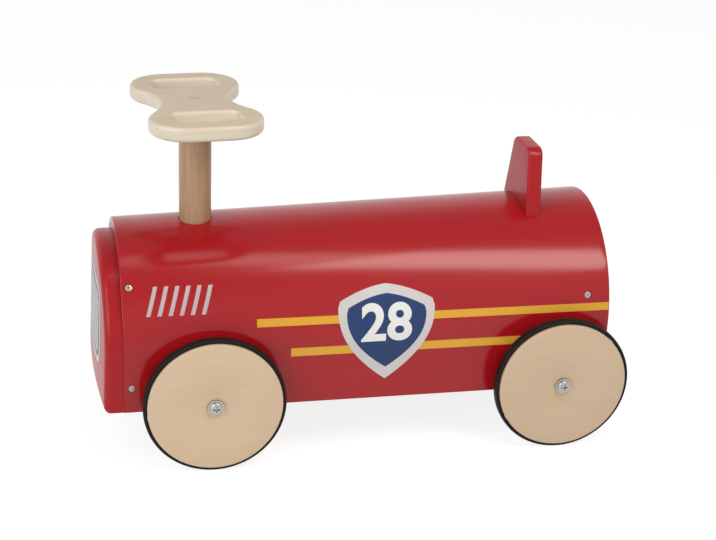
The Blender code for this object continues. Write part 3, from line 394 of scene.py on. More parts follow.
def plywood_layers(tree, colour, dark, layers):
    """Add the plies that show at a plywood edge. Layers is (axis, start, pitch)."""
    axis, start, pitch = layers
    depth = math_node(tree, "ABSOLUTE", axis_of(tree, own_place(tree), axis))
    steps = math_node(tree, "DIVIDE", math_node(tree, "SUBTRACT", depth, start), pitch)
    cross_ply = math_node(tree, "FRACT", share_of(tree, steps, 0.5))
    colour = mix(tree, spread(tree, cross_ply, 0.49, 0.51, to_high=0.30), colour, dark)
    from_glue = math_node(tree, "PINGPONG", math_node(tree, "FRACT", steps), 0.5)
    return mix(tree, spread(tree, from_glue, 0.0, 0.09, to_low=0.55, to_high=0.0), colour, GLUE_LINE)


def make_wood(name, colours, roughness, turn=(0, 0, 0), shift=(0, 0, 0), ring_scale=5.0, contrast=0.55,
              coat=0.15, layers=None, end_grain_and_shade_axis=None):
    """Clear-lacquered wood. Layers are for plywood, and the faces square to the given axis are darker: end
    grain on the beam and the block, and painted shade on the handle's top and bottom faces.
    """
    light, dark, pore_colour = colours
    material, tree, shader = start_material(name)
    rings, fibres, pores = wood_pattern(tree, turn, shift, ring_scale)
    share = math_node(tree, "ADD", share_of(tree, rings, contrast), share_of(tree, fibres, 0.35), clamp=True)
    colour = mix(tree, share, light, dark)
    colour = mix(tree, share_of(tree, pores, 0.35), colour, pore_colour)
    place = coordinates(tree, shift=shift)
    stain = noise(tree, 9.0, place=place)
    colour = mix(tree, spread(tree, stain, 0.35, 0.70, to_high=0.10), colour, pore_colour)
    # Faces square to the axis darken: real end grain where the grain runs along it, painted shade on the
    # handle's top and bottom
    if end_grain_and_shade_axis is not None:
        facing = math_node(tree, "ABSOLUTE", axis_of(tree, own_place(tree, "Normal"), end_grain_and_shade_axis))
        colour = mix(tree, spread(tree, facing, 0.45, 0.95, to_high=0.55), colour, pore_colour)
    if layers:
        colour = plywood_layers(tree, colour, pore_colour, layers)
    smudge = noise(tree, 22.0, detail=4.0, place=place)
    smudged = spread(tree, smudge, 0.3, 0.7, roughness - 0.06, roughness + 0.07)
    feed(tree, shader, {
        "Base Color": colour,
        "Roughness": math_node(tree, "ADD", smudged, share_of(tree, fibres, 0.06)),
        "Coat Weight": coat,
        "Coat Roughness": WOOD_COAT_ROUGHNESS,
    })
    bump(tree, shader, math_node(tree, "SUBTRACT", fibres, pores), distance=0.00004, strength=0.55)
    return material


def make_lacquer(name, gloss, coat, grain_turn=(0, 0, 0)):
    """Red lacquer: a thick even layer with a faint grain and orange peel, and a share of clear coat."""
    material, tree, shader = start_material(name)
    rings, fibres, pores = wood_pattern(tree, grain_turn, (0, 0, 0), ring_scale=4.0)
    cloud = spread(tree, noise(tree, 6.0), 0.3, 0.7)
    share = math_node(tree, "ADD", share_of(tree, rings, 0.22), share_of(tree, cloud, 0.30), clamp=True)
    colour = mix(tree, share, RED_LIGHT, RED_DEEP)
    smudge = noise(tree, 17.0, detail=5.0, roughness=0.6)
    feed(tree, shader, {
        "Base Color": mix(tree, share_of(tree, pores, 0.12), colour, RED_PORE),
        "Roughness": spread(tree, smudge, 0.3, 0.7, LACQUER_ROUGHNESS - 0.05, LACQUER_ROUGHNESS + 0.06),
        "Specular IOR Level": gloss,
        "Coat Weight": coat,
        "Coat Roughness": LACQUER_COAT_ROUGHNESS,
    })
    peel = noise(tree, 420.0, detail=2.0)
    height = math_node(tree, "ADD", share_of(tree, peel, 0.5), share_of(tree, fibres, 0.5))
    bump(tree, shader, height, distance=0.00003, strength=0.35)
    return material


def make_rubber():
    """Dusty black rubber."""
    material, tree, shader = start_material("tyre_rubber")
    dust = noise(tree, 30.0, detail=5.0, roughness=0.65)
    dust = spread(tree, dust, 0.48, 0.75, to_high=0.30)
    feed(tree, shader, {
        "Base Color": mix(tree, dust, RUBBER_BLACK, RUBBER_DUST),
        "Roughness": spread(tree, dust, 0.0, 0.3, 0.55, 0.82),
        "Specular IOR Level": RUBBER_GLOSS,
    })
    grain = noise(tree, 900.0, detail=2.0)
    bump(tree, shader, grain, distance=0.00005, strength=0.5)
    return material


def make_hard(name, colour, worn_share, cloud_scale, cloud_share, stretch, fine_scale, fine_detail,
              roughness, metallic):
    """Metal or plastic with worn clouds and fine marks. Roughness is a range."""
    material, tree, shader = start_material(name)
    cloud = spread(tree, noise(tree, cloud_scale), 0.3, 0.7, to_high=cloud_share)
    fine = noise(tree, fine_scale, fine_detail, place=coordinates(tree, stretch))
    feed(tree, shader, {
        "Base Color": mix(tree, cloud, colour, tuple(worn_share * channel for channel in colour)),
        "Roughness": spread(tree, fine, 0.3, 0.7, *roughness),
        "Metallic": metallic,
    })
    bump(tree, shader, fine, distance=0.00002, strength=0.4)
    return material


def make_print(name, colour, worn, roughness):
    """Screen-printed ink with slightly uneven cover and small worn specks."""
    material, tree, shader = start_material(name)
    cover = noise(tree, 60.0, detail=4.0, roughness=0.6)
    tint = mix(tree, spread(tree, cover, 0.3, 0.7, to_high=0.30), colour, worn)
    specks = noise(tree, 750.0, roughness=0.6)
    fine = noise(tree, 380.0)
    feed(tree, shader, {
        "Base Color": mix(tree, spread(tree, specks, 0.70, 0.76, to_high=0.55), tint, worn),
        "Roughness": spread(tree, fine, 0.3, 0.7, roughness - 0.05, roughness + 0.08),
        "Specular IOR Level": PRINT_GLOSS,
    })
    bump(tree, shader, fine, distance=0.00002, strength=0.25)
    return material


# Mesh helpers

def add_object(name, data):
    obj = bpy.data.objects.new(name, data)
    bpy.context.scene.collection.objects.link(obj)
    return obj


def object_from(bm, name):
    """An object with the bmesh's shape. The bmesh is freed."""
    mesh = bpy.data.meshes.new(name)
    bm.to_mesh(mesh)
    bm.free()
    return add_object(name, mesh)


def add_piece(name, bm, materials, body):
    """Turn a bmesh into an object that rides on a body."""
    bmesh.ops.recalc_face_normals(bm, faces=bm.faces[:])
    piece = object_from(bm, name)
    for material in materials:
        piece.data.materials.append(material)
    piece.data.shade_smooth()
    piece.data.set_sharp_from_angle(angle=SMOOTH_ANGLE)
    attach(piece, body)
    return piece


def stand_for(node, bm, *materials):
    """A finer piece in the place of a CAD node, with that node's body and the given materials."""
    body = frame["nodes"][node]["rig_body"]
    piece = add_piece(node + "_visual", bm, materials, body)
    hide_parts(node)


def soften(bm, radius, segments=2):
    """Round every sharp edge a little."""
    edges = [edge for edge in bm.edges if len(edge.link_faces) == 2 and edge.calc_face_angle() > SHARP_ANGLE]
    bmesh.ops.bevel(bm, geom=edges, offset=radius, segments=segments, profile=0.5, affect="EDGES",
                    clamp_overlap=True)


def refined(node, radius):
    """The CAD node's own shape, welded and with softened edges."""
    bm = bmesh.new()
    bm.from_mesh(frame["nodes"][node].data)
    bmesh.ops.remove_doubles(bm, verts=bm.verts[:], dist=WELD_DISTANCE)
    bmesh.ops.dissolve_limit(bm, angle_limit=FLAT_ANGLE, verts=bm.verts[:], edges=bm.edges[:])
    soften(bm, radius)
    return bm


def turned(profile, start, direction, segments, rounding=0.0, steps=2):
    """Turn (radius, distance) points about an axis that runs from start along direction."""
    bm = bmesh.new()
    turn = Vector((0.0, 0.0, 1.0)).rotation_difference(Vector(direction))
    rings = []
    for radius, distance in profile:
        ring = []
        count = segments if radius > 0.0 else 1
        for step in range(count):
            angle = 2 * math.pi * step / segments
            point = Vector((radius * math.cos(angle), radius * math.sin(angle), distance))
            ring.append(bm.verts.new(Vector(start) + turn @ point))
        rings.append(ring)
    solid = profile[0][0] == 0.0 and profile[-1][0] == 0.0
    pairs = list(zip(rings, rings[1:]))
    if not solid:
        pairs.append((rings[-1], rings[0]))
    for lower, upper in pairs:
        for step in range(segments):
            corners = [lower[step % len(lower)], lower[(step + 1) % len(lower)],
                       upper[(step + 1) % len(upper)], upper[step % len(upper)]]
            # A ring of one point gives triangles
            bm.faces.new(list(dict.fromkeys(corners)))
    bmesh.ops.recalc_face_normals(bm, faces=bm.faces[:])
    if rounding > 0.0:
        soften(bm, rounding, steps)
    return bm


def arc(centre, radius, start, end, steps):
    points = []
    for step in range(steps + 1):
        angle = start + (end - start) * step / steps
        points.append((centre[0] + radius * math.cos(angle), centre[1] + radius * math.sin(angle)))
    return points


def rectangle(low_u, low_v, high_u, high_v, lean=0.0):
    return [[(low_u, low_v), (high_u, low_v), (high_u + lean, high_v), (low_u + lean, high_v)]]


def join_rings(bm, rings):
    """Bridge closed rings of equal length with quads."""
    for lower, upper in zip(rings, rings[1:]):
        for index in range(len(lower)):
            following = (index + 1) % len(lower)
            bm.faces.new((lower[index], lower[following], upper[following], upper[index]))


def closed_tube(rings):
    """A solid from rings of points, with a flat face at each end."""
    bm = bmesh.new()
    loops = [[bm.verts.new(point) for point in ring] for ring in rings]
    join_rings(bm, loops)
    bm.faces.new(loops[0])
    bm.faces.new(loops[-1])
    return bm


def fill_flat(bm, verts, outlines):
    """Fill outlines with triangles, where the first outline is the outer one. Verts follow the outlines."""
    for triangle in tessellate_polygon([[Vector((u, v, 0.0)) for u, v in outline] for outline in outlines]):
        corners = [verts[index] for index in triangle]
        if len(set(corners)) == 3:
            bm.faces.new(corners)


def board(layers, place):
    """A board from layers, each a depth and its outlines: the outer one first and then the holes."""
    bm = bmesh.new()
    rings = []
    for depth, outlines in layers:
        rings.append([[bm.verts.new(place(u, v, depth)) for u, v in outline] for outline in outlines])
    for index in range(len(rings[0])):
        join_rings(bm, [layer[index] for layer in rings])
    for layer, (depth, outlines) in ((rings[0], layers[0]), (rings[-1], layers[-1])):
        fill_flat(bm, [vert for ring in layer for vert in ring], outlines)
    return bm


def rounded_layers(outlines_at, thickness, rounding, steps):
    """Layers of a board whose edges are rounded on both faces."""
    layers = []
    for step in range(steps + 1):
        angle = QUARTER_TURN * step / steps
        layers.append((rounding * (1 - math.cos(angle)), outlines_at(rounding * (1 - math.sin(angle)))))
    for depth, outlines in reversed(layers[:]):
        layers.append((thickness - depth, outlines))
    return layers


def edge_drop(distance, radius):
    """How far a rounded edge lies below its face, at a distance from the edge."""
    if distance >= radius:
        return 0.0
    return radius - math.sqrt(max(0.0, radius ** 2 - (radius - distance) ** 2))


def sheet_lines(low, high, radius, spacing):
    """Where a sheet needs cuts between two rounded edges, and at those edges."""
    insets = [radius * (1 - math.cos(QUARTER_TURN * step / RIM_STEPS)) for step in range(1, RIM_STEPS + 1)]
    rims = [low + inset for inset in insets] + [high - inset for inset in insets]
    return rims + steps_between(low + radius, high - radius, spacing)


def steps_between(low, high, spacing):
    count = max(1, math.ceil((high - low) / spacing))
    return [low + (high - low) * step / count for step in range(1, count)]


def lay_sheet(shapes, place_on, lines_u, lines_v):
    """A thin solid: flat shapes, cut along lines, laid on a surface by place_on(u, v, top)."""
    bm = bmesh.new()
    for outlines in shapes:
        fill_flat(bm, [bm.verts.new((u, v, 0.0)) for outline in outlines for u, v in outline], outlines)
    bmesh.ops.remove_doubles(bm, verts=bm.verts[:], dist=SHEET_WELD_DISTANCE)
    for axis, lines in ((0, lines_u), (1, lines_v)):
        normal = Vector((1.0 - axis, axis, 0.0))
        for position in lines:
            geometry = bm.verts[:] + bm.edges[:] + bm.faces[:]
            bmesh.ops.bisect_plane(bm, geom=geometry, dist=CUT_TOLERANCE, plane_co=normal * position,
                                   plane_no=normal)
    for face in bm.faces:
        face.normal_update()
        if face.normal.z < 0.0:
            face.normal_flip()
        face.material_index = 1
    rim = [edge for edge in bm.edges if edge.is_boundary]
    under = bm.verts[:]
    top = {vert: bm.verts.new(vert.co) for vert in under}
    for face in list(bm.faces):
        bm.faces.new([top[vert] for vert in face.verts]).material_index = 0
    for edge in rim:
        first, second = edge.verts
        if edge.link_loops[0].vert is not first:
            first, second = second, first
        bm.faces.new((second, first, top[first], top[second])).material_index = 0
    for vert in under:
        u, v = vert.co.xy
        top[vert].co = place_on(u, v, 1.0)
        vert.co = place_on(u, v, 0.0)
    return bm


# The shell, which is an arch on straight sides

def arch_centre(x):
    share = (x - FRONT_X) / (REAR_X - FRONT_X)
    return FRONT_TOP + share * (REAR_TOP - FRONT_TOP) - SHELL_RADIUS


def on_skin(x, run, lift):
    """Point of the shell's skin. The run goes from the top round the arch and down the straight side."""
    side = math.copysign(1.0, run)
    radius = SHELL_RADIUS + lift
    centre = arch_centre(x)
    if abs(run) <= QUARTER_RUN:
        angle = abs(run) / SHELL_RADIUS
        return Vector((x, side * radius * math.sin(angle), centre + radius * math.cos(angle)))
    share = (abs(run) - QUARTER_RUN) / SIDE_RUN
    return Vector((x, side * radius, centre + share * (EDGE_Z - centre)))


def run_at(x, z):
    """The run at a height on the shell's outside."""
    above = z - arch_centre(x)
    if above > 0.0:
        return QUARTER_RUN - SHELL_RADIUS * math.asin(min(1.0, above / SHELL_RADIUS))
    return QUARTER_RUN - above / (arch_centre(x) - EDGE_Z) * SIDE_RUN


def shell_screw_places():
    """Node, place along the car, height and side of each screw through the shell."""
    places = []
    for node in frame["nodes"]:
        if node.startswith("shell_screw_"):
            low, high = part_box(node)
            height = next(SHELL_SCREW_HEIGHTS[place] for place in SHELL_SCREW_HEIGHTS if place in node)
            places.append((node, (low.x + high.x) / 2, EDGE_Z + height, math.copysign(1.0, low.y)))
    return places


def shell_holes():
    """Holes for the column and the screws, as runs on the flattened shell."""
    circle = arc((0.0, 0.0), 1.0, 0.0, 2 * math.pi, HOLE_STEPS)[:-1]
    column = [(COLUMN_HOLE_RADIUS * u, COLUMN_HOLE_RADIUS * v) for u, v in circle]
    holes = [[(COLUMN.x + u, SHELL_RADIUS * math.asin(v / SHELL_RADIUS)) for u, v in column]]
    radius = SHELL_SCREW_RADIUS + CLEARANCE
    for _, x, z, side in shell_screw_places():
        run = run_at(x, z)
        holes.append([(x + radius * u, side * (run + radius * v)) for u, v in circle])
    return holes


def make_shell(lacquer, bare):
    full = QUARTER_RUN + SIDE_RUN
    edge = SHELL_EDGE_RADIUS

    def place(u, v, top):
        distance = min(u - FRONT_X, REAR_X - u, full - abs(v))
        drop = edge_drop(max(0.0, distance), edge)
        return on_skin(u, v, -drop if top else drop - SHELL_WALL)

    lines_u = sheet_lines(FRONT_X, REAR_X, edge, SHELL_STEP_ALONG) + [REAR_BOARD_X]
    lines_v = sheet_lines(-full, full, edge, SHELL_STEP_ROUND)
    bm = lay_sheet([rectangle(FRONT_X, -full, REAR_X, full) + shell_holes()], place, lines_u, lines_v)
    for face in bm.faces:
        middle = face.calc_center_median()
        at_rim = middle.x < FRONT_X + 2 * edge or middle.z < EDGE_Z + 2 * edge
        if middle.x > REAR_BOARD_X or at_rim:
            face.material_index = 0
    stand_for("body_shell", bm, lacquer, bare)


# Nose board

def nose_thickness(y, z):
    """Thickness of the nose board, which bulges in the middle and leans back upwards."""
    return NOSE_FOOT_THICKNESS - NOSE_DOME * (y / nose_high.y) ** 2 - NOSE_LEAN * (z - EDGE_Z)


def nose_outline(inset):
    half = nose_high.y - inset
    centre = arch_centre(FRONT_X)
    rise = nose_high.z - centre - inset
    foot = nose_low.z + inset
    side = [(half, foot + (centre - foot) * step / NOSE_SIDE_STEPS) for step in range(NOSE_SIDE_STEPS)]
    points = [(-y, z) for y, z in side]
    points += [(half * u, centre + rise * v) for u, v in arc((0.0, 0.0), 1.0, math.pi, 0.0, NOSE_ARCH_STEPS)]
    points += reversed(side)
    points += [(half * (1 - 2 * step / NOSE_FOOT_STEPS), foot) for step in range(1, NOSE_FOOT_STEPS)]
    return points


def make_nose(lacquer):
    back = nose_high.x
    middle = arch_centre(FRONT_X)
    rings = [[(back + SEAM_FILL, y, z) for y, z in nose_outline(0.0)]]
    for step in range(NOSE_EDGE_STEPS + 1):
        angle = QUARTER_TURN * step / NOSE_EDGE_STEPS
        lower = NOSE_EDGE_ROUNDING * (1 - math.sin(angle))
        outline = nose_outline(NOSE_EDGE_ROUNDING * (1 - math.cos(angle)))
        rings.append([(back - nose_thickness(y, z) + lower, y, z) for y, z in outline])
    for step in range(1, NOSE_FACE_RINGS):
        share = 1.0 - step / NOSE_FACE_RINGS
        ring = [(y * share, middle + (z - middle) * share) for y, z in nose_outline(NOSE_EDGE_ROUNDING)]
        rings.append([(back - nose_thickness(y, z), y, z) for y, z in ring])
    bm = bmesh.new()
    loops = [[bm.verts.new(point) for point in ring] for ring in rings]
    join_rings(bm, loops)
    bm.faces.new(loops[0])
    tip = bm.verts.new((back - nose_thickness(0.0, middle), 0.0, middle))
    for index, vert in enumerate(loops[-1]):
        bm.faces.new((vert, loops[-1][(index + 1) % len(loops[-1])], tip))
    stand_for("nose_panel", bm, lacquer)


# Backrest

def make_backrest(lacquer):
    lean = math.tan(BACKREST_RECLINE)
    middle_x = BACKREST_FRONT_X + BACKREST_THICKNESS / 2
    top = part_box("backrest")[1].z
    base_z = arch_centre(middle_x) + math.sqrt(SHELL_RADIUS ** 2 - BACKREST_BASE_HALF ** 2)
    taper = (BACKREST_BASE_HALF - BACKREST_TOP_HALF) / (top - base_z)
    slant = math.atan(taper)
    crown_z = arch_centre(middle_x) + SHELL_RADIUS

    def side_at(z, inset):
        return BACKREST_TOP_HALF + taper * (top - z) - inset / math.cos(slant)

    def outlines_at(inset):
        radius = BACKREST_CORNER - inset
        corner_z = top - inset - radius
        centre_y = side_at(corner_z, inset) - radius / math.cos(slant)
        right = arc((centre_y, corner_z), radius, slant, QUARTER_TURN, BACKREST_CORNER_STEPS)
        left = [(-y, z) for y, z in reversed(right)]
        foot_y = side_at(base_z, inset)
        steps = range(BACKREST_FOOT_STEPS, -1, -1)
        foot = [(foot_y * (1 - 2 * step / BACKREST_FOOT_STEPS), None) for step in steps]
        return [right + left + foot]

    def place(u, v, depth):
        x = BACKREST_FRONT_X + depth
        z = v
        if v is None:
            z = arch_centre(x) + math.sqrt((SHELL_RADIUS + CLEARANCE) ** 2 - u ** 2)
        return Vector((x + (z - crown_z) * lean, u, z))

    layers = rounded_layers(outlines_at, BACKREST_THICKNESS, BACKREST_ROUNDING, BACKREST_EDGE_STEPS)
    rings = [[place(u, v, depth) for u, v in outlines[0]] for depth, outlines in layers]
    stand_for("backrest", closed_tube(rings), lacquer)


# Handle

def rounded_rectangle(centre_v, half_u, half_v, radius, steps):
    points = []
    for index, (sign_u, sign_v) in enumerate(((1, 1), (-1, 1), (-1, -1), (1, -1))):
        centre = (sign_u * (half_u - radius), centre_v + sign_v * (half_v - radius))
        points += arc(centre, radius, index * QUARTER_TURN, (index + 1) * QUARTER_TURN, steps)
    return points


def handle_outlines(inset):
    end_u = GRIP_HALF_LENGTH - GRIP_END_RADIUS
    end_v = HANDLE_HALF_SPAN - GRIP_END_RADIUS
    reach = HANDLE_WAIST_HALF - end_u
    waist_radius = (reach ** 2 + end_v ** 2 - GRIP_END_RADIUS ** 2) / (2 * (GRIP_END_RADIUS - reach))
    waist_u = HANDLE_WAIST_HALF + waist_radius
    turn = math.atan2(end_v, waist_u - end_u)
    grip = arc((end_u, end_v), GRIP_END_RADIUS - inset, -turn, QUARTER_TURN, GRIP_STEPS)
    waist = arc((waist_u, 0.0), waist_radius + inset, math.pi - turn, math.pi + turn, WAIST_STEPS)[1:-1]
    half = grip + [(-u, v) for u, v in [*reversed(grip), *waist]]
    outer = half + [(-u, -v) for u, v in half]
    hole_v = HANDLE_HALF_SPAN - GRIP_RIM_WIDTH - HAND_HOLE_WIDTH / 2
    plug_hole = arc((0.0, 0.0), PLUG_RADIUS + CLEARANCE, 0.0, 2 * math.pi, PLUG_HOLE_STEPS)[:-1]
    hole_size = (HAND_HOLE_LENGTH / 2 + inset, HAND_HOLE_WIDTH / 2 + inset, HAND_HOLE_CORNER + inset)
    holes = [rounded_rectangle(v, *hole_size, HAND_HOLE_STEPS) for v in (hole_v, -hole_v)]
    return [outer, *holes, plug_hole]


def make_handle_board(wood):
    low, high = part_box("handle_board")
    turn = Matrix.Rotation(HANDLE_REST_TURN, 3, "Z")

    def place(u, v, depth):
        return Vector((COLUMN.x, 0.0, low.z + depth)) + turn @ Vector((u, v, 0.0))

    layers = rounded_layers(handle_outlines, high.z - low.z, HANDLE_ROUNDING, HANDLE_EDGE_STEPS)
    stand_for("handle_board", board(layers, place), wood)


# Screws

def cross_cutter(start, direction, size):
    """A cross-shaped cutter that tapers as it goes in."""
    reach, width, depth = size
    tip_share, opening_share, bottom_share = CROSS_SHARES
    turn = Vector((0.0, 0.0, 1.0)).rotation_difference(Vector(direction))
    tip = width * tip_share
    outline = []
    for quarter in range(4):
        angle = quarter * QUARTER_TURN
        for along, across in ((width / 2, -width / 2), (reach, -tip), (reach, tip)):
            outline.append((along * math.cos(angle) - across * math.sin(angle),
                            along * math.sin(angle) + across * math.cos(angle)))
    rings = []
    for distance, share in ((-depth, opening_share), (depth, bottom_share)):
        rings.append([Vector(start) + turn @ Vector((u * share, v * share, distance)) for u, v in outline])
    bm = closed_tube(rings)
    bmesh.ops.recalc_face_normals(bm, faces=bm.faces[:])
    return bm


def cut_away(bm, cutter):
    """Cut one closed bmesh out of another."""
    objects = [object_from(bm, "kept"), object_from(cutter, "cutter")]
    modifier = objects[0].modifiers.new("cut", "BOOLEAN")
    modifier.object = objects[1]
    modifier.solver = "EXACT"
    graph = bpy.context.evaluated_depsgraph_get()
    result = bmesh.new()
    result.from_mesh(objects[0].evaluated_get(graph).to_mesh())
    for obj in objects:
        mesh = obj.data
        bpy.data.objects.remove(obj)
        bpy.data.meshes.remove(mesh)
    return result


def make_shell_screws(steel):
    head, shank, tip = SHELL_SCREW_ENDS
    profile = [(0.0, 0.0), (SHELL_SCREW_RADIUS, 0.0), (SHELL_SCREW_SHANK, head), (SHELL_SCREW_SHANK, shank),
               (0.0, tip)]
    for node, x, z, side in shell_screw_places():
        run = side * run_at(x, z)
        start = on_skin(x, run, -SHELL_SCREW_SINK)
        inward = (on_skin(x, run, -INWARD_PROBE_DEPTH) - start).normalized()
        bm = turned(profile, start, inward, SHELL_SCREW_SEGMENTS, SHELL_SCREW_ROUNDING)
        stand_for(node, cut_away(bm, cross_cutter(start, inward, SHELL_SCREW_CROSS)), steel)


def ring_profile(bore, outer, depth, crown):
    """Cross-section of a ring, whose middle stands out by the crown."""
    profile = [(bore, 0.0), (outer - crown, 0.0), (outer - crown, depth), (bore, depth)]
    if crown:
        profile.insert(2, (outer, depth / 2))
    return profile


def wheel_screw_profile(length):
    profile = [(0.0, 0.0)]
    for step in range(1, SCREW_DOME_STEPS + 1):
        angle = QUARTER_TURN * step / SCREW_DOME_STEPS
        profile.append((SCREW_HEAD_RADIUS * math.sin(angle), SCREW_DOME * (1 - math.cos(angle))))
    profile += [(SCREW_HEAD_RADIUS, SCREW_HEAD_HEIGHT), (SCREW_SHANK, SCREW_HEAD_HEIGHT)]
    return profile + [(SCREW_SHANK, length - SCREW_TIP_LENGTH), (SCREW_TIP_RADIUS, length), (0.0, length)]


def place_on_axle(node, axle, outward):
    """Outer end of a wheel's part, and its depth."""
    low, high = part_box(node)
    near, far = sorted((abs(low.y), abs(high.y)))
    return Vector((axle.x, 0.0, axle.z)) + outward * far, far - near


def make_wheels(woods, rubber, nylon, steel):
    for label, wood in woods.items():
        axle = joint_places[label + "_roll"]
        outward = Vector((0.0, math.copysign(1.0, axle.y), 0.0))
        # Part, bore, outer radius, crown, segments, rounding, its steps and the material of each ring
        rings = (
            ("_wheel", HUB_BORE, WHEEL_RADIUS, 0.0, WHEEL_SEGMENTS, 0.0011, 3, wood),
            ("_tyre", WHEEL_RADIUS + CLEARANCE, TYRE_RADIUS, TYRE_CROWN, WHEEL_SEGMENTS, 0.0012, 4, rubber),
            ("_washer", SCREW_BORE, WASHER_RADIUS, 0.0, WASHER_SEGMENTS, 0.0003, 2, steel),
            ("_spacer", SCREW_BORE, SPACER_RADIUS, 0.0, SMALL_SEGMENTS, 0.0006, 2, nylon),
        )
        for part, bore, outer, crown, segments, rounding, steps, material in rings:
            start, depth = place_on_axle(label + part, axle, outward)
            profile = ring_profile(bore, outer, depth, crown)
            stand_for(label + part, turned(profile, start, -outward, segments, rounding, steps), material)
        start, length = place_on_axle(label + "_wheel_screw", axle, outward)
        bm = turned(wheel_screw_profile(length), start, -outward, WASHER_SEGMENTS)
        cutter = cross_cutter(start, -outward, WHEEL_SCREW_CROSS)
        stand_for(label + "_wheel_screw", cut_away(bm, cutter), steel)


def make_column(wood, dowel_wood):
    """The column on its narrower foot, and the plug over its screw."""
    shoulder = COLUMN.z + SHOULDER_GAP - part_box("handle_column")[0].z
    column = ((SPIGOT_RADIUS, 0.0), (SPIGOT_RADIUS, shoulder), (COLUMN_RADIUS, shoulder))
    for node, sides, segments, rounding, material in (
            ("handle_column", column, TURNED_SEGMENTS, COLUMN_ROUNDING, wood),
            ("handle_plug", ((PLUG_RADIUS, 0.0),), SMALL_SEGMENTS, PLUG_ROUNDING, dowel_wood)):
        low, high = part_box(node)
        depth = high.z - low.z
        profile = [(0.0, 0.0), *sides, (sides[-1][0], depth), (0.0, depth)]
        start = Vector((COLUMN.x, 0.0, low.z))
        stand_for(node, turned(profile, start, (0.0, 0.0, 1.0), segments, rounding), material)


# Prints on the body

def print_piece(name, shapes, place_on, ink, spacings=(PRINT_STEP_ALONG, PRINT_STEP_UP)):
    """A thin layer of ink: flat shapes cut into strips and laid on a surface."""
    points = [point for outlines in shapes for outline in outlines for point in outline]
    lines = []
    for axis, spacing in enumerate(spacings):
        places = [point[axis] for point in points]
        lines.append(steps_between(min(places), max(places), spacing))
    bm = lay_sheet(shapes, place_on, *lines)
    for face in bm.faces:
        face.material_index = 0
    add_piece(name, bm, [ink], "chassis")


def print_lift(level, top):
    """Height above the lacquer of the lower or upper side of a layer of ink."""
    return PRINT_LIFT + level * PRINT_THICKNESS + PRINT_THICKNESS * (top - 0.5)


def side_placer(side, level, centre=None):
    """Places flat points on the shell. With a centre, a shape reads the right way round on both sides."""

    def place(u, v, top):
        x, z = (centre[0] - side * u, centre[1] + v) if centre else (u, v)
        return on_skin(x, side * run_at(x, z), print_lift(level, top))

    return place


def shield_outline(inset):
    """A plain peaked shield."""
    half = SHIELD_HALF_WIDTH - inset
    top = SHIELD_TOP - inset
    shoulder = SHIELD_SHOULDER - SHIELD_SHOULDER_INSET * inset
    corner = shoulder - SHIELD_CORNER_DROP
    tip = SHIELD_TIP + SHIELD_TIP_INSET * inset
    right = []
    for step in range(SHIELD_TOP_STEPS + 1):
        share = step / SHIELD_TOP_STEPS
        fall = SHIELD_TOP_SLOPE * share + (1 - SHIELD_TOP_SLOPE) * share ** 2
        right.append((half * SHIELD_TOP_WIDTH * share, top - (top - shoulder) * fall))
    for step in range(1, SHIELD_SIDE_STEPS + 1):
        share = step / SHIELD_SIDE_STEPS
        width = half * (1.0 - share ** SHIELD_SIDE_POWER) * (1.0 + SHIELD_SIDE_BULGE * share)
        right.append((width, corner + (tip - corner) * share))
    return right + [(-u, v) for u, v in reversed(right[1:-1])]


def number_shapes():
    """Outlines of the number, from the built-in font, centred."""
    curve = bpy.data.curves.new("number_curve", "FONT")
    curve.body = NUMBER_TEXT
    curve.size = 1.0
    curve.offset = NUMBER_WEIGHT
    curve.resolution_u = NUMBER_CURVE_STEPS
    curve.space_character = NUMBER_SPACING
    text = add_object("number_text", curve)
    bpy.context.view_layer.update()
    mesh = text.evaluated_get(bpy.context.evaluated_depsgraph_get()).to_mesh()
    us = [vert.co.x for vert in mesh.vertices]
    vs = [vert.co.y for vert in mesh.vertices]
    faces = [tuple(face.vertices) for face in mesh.polygons]
    bpy.data.objects.remove(text)
    low_u, high_u = min(us), max(us)
    low_v, high_v = min(vs), max(vs)
    scale = NUMBER_HEIGHT / (high_v - low_v)
    flat = [((u - (low_u + high_u) / 2) * scale, (v - (low_v + high_v) / 2) * scale) for u, v in zip(us, vs)]
    return [[[flat[index] for index in face]] for face in faces]


def add_side_prints(inks):
    number_centre = (SHIELD_CENTRE[0], SHIELD_CENTRE[1] + NUMBER_RISE)
    bars = []
    foot = LOUVRE_START[1]
    for index in range(LOUVRE_COUNT):
        u = LOUVRE_START[0] + LOUVRE_PITCH * index
        bars.append(rectangle(u, foot, u + LOUVRE_WIDTH, foot + LOUVRE_RISE, LOUVRE_LEAN))
    # Name, shapes, level above the lacquer, centre and ink of each print
    prints = []
    for name, (start, height, half) in (("stripe_upper_", UPPER_STRIPE), ("stripe_lower_", LOWER_STRIPE)):
        shape = rectangle(start, height - half, REAR_X - STRIPE_REAR_GAP, height + half)
        prints.append((name, [shape], 0, None, "yellow"))
    prints += [
        ("shield_border_", [[shield_outline(0.0)]], 1, SHIELD_CENTRE, "silver"),
        ("shield_field_", [[shield_outline(SHIELD_BORDER)]], 2, SHIELD_CENTRE, "blue"),
        ("shield_number_", number_shapes(), 3, number_centre, "white"),
        ("louvres_", bars, 0, None, "dull_silver"),
    ]
    for label, side in (("left", -1.0), ("right", 1.0)):
        for name, shapes, level, centre, ink in prints:
            print_piece(name + label, shapes, side_placer(side, level, centre), inks[ink])


# Print on the nose

def nose_placer(level):

    def place(u, v, top):
        return Vector((nose_high.x - nose_thickness(u, v) - print_lift(level, top), u, v))

    return place


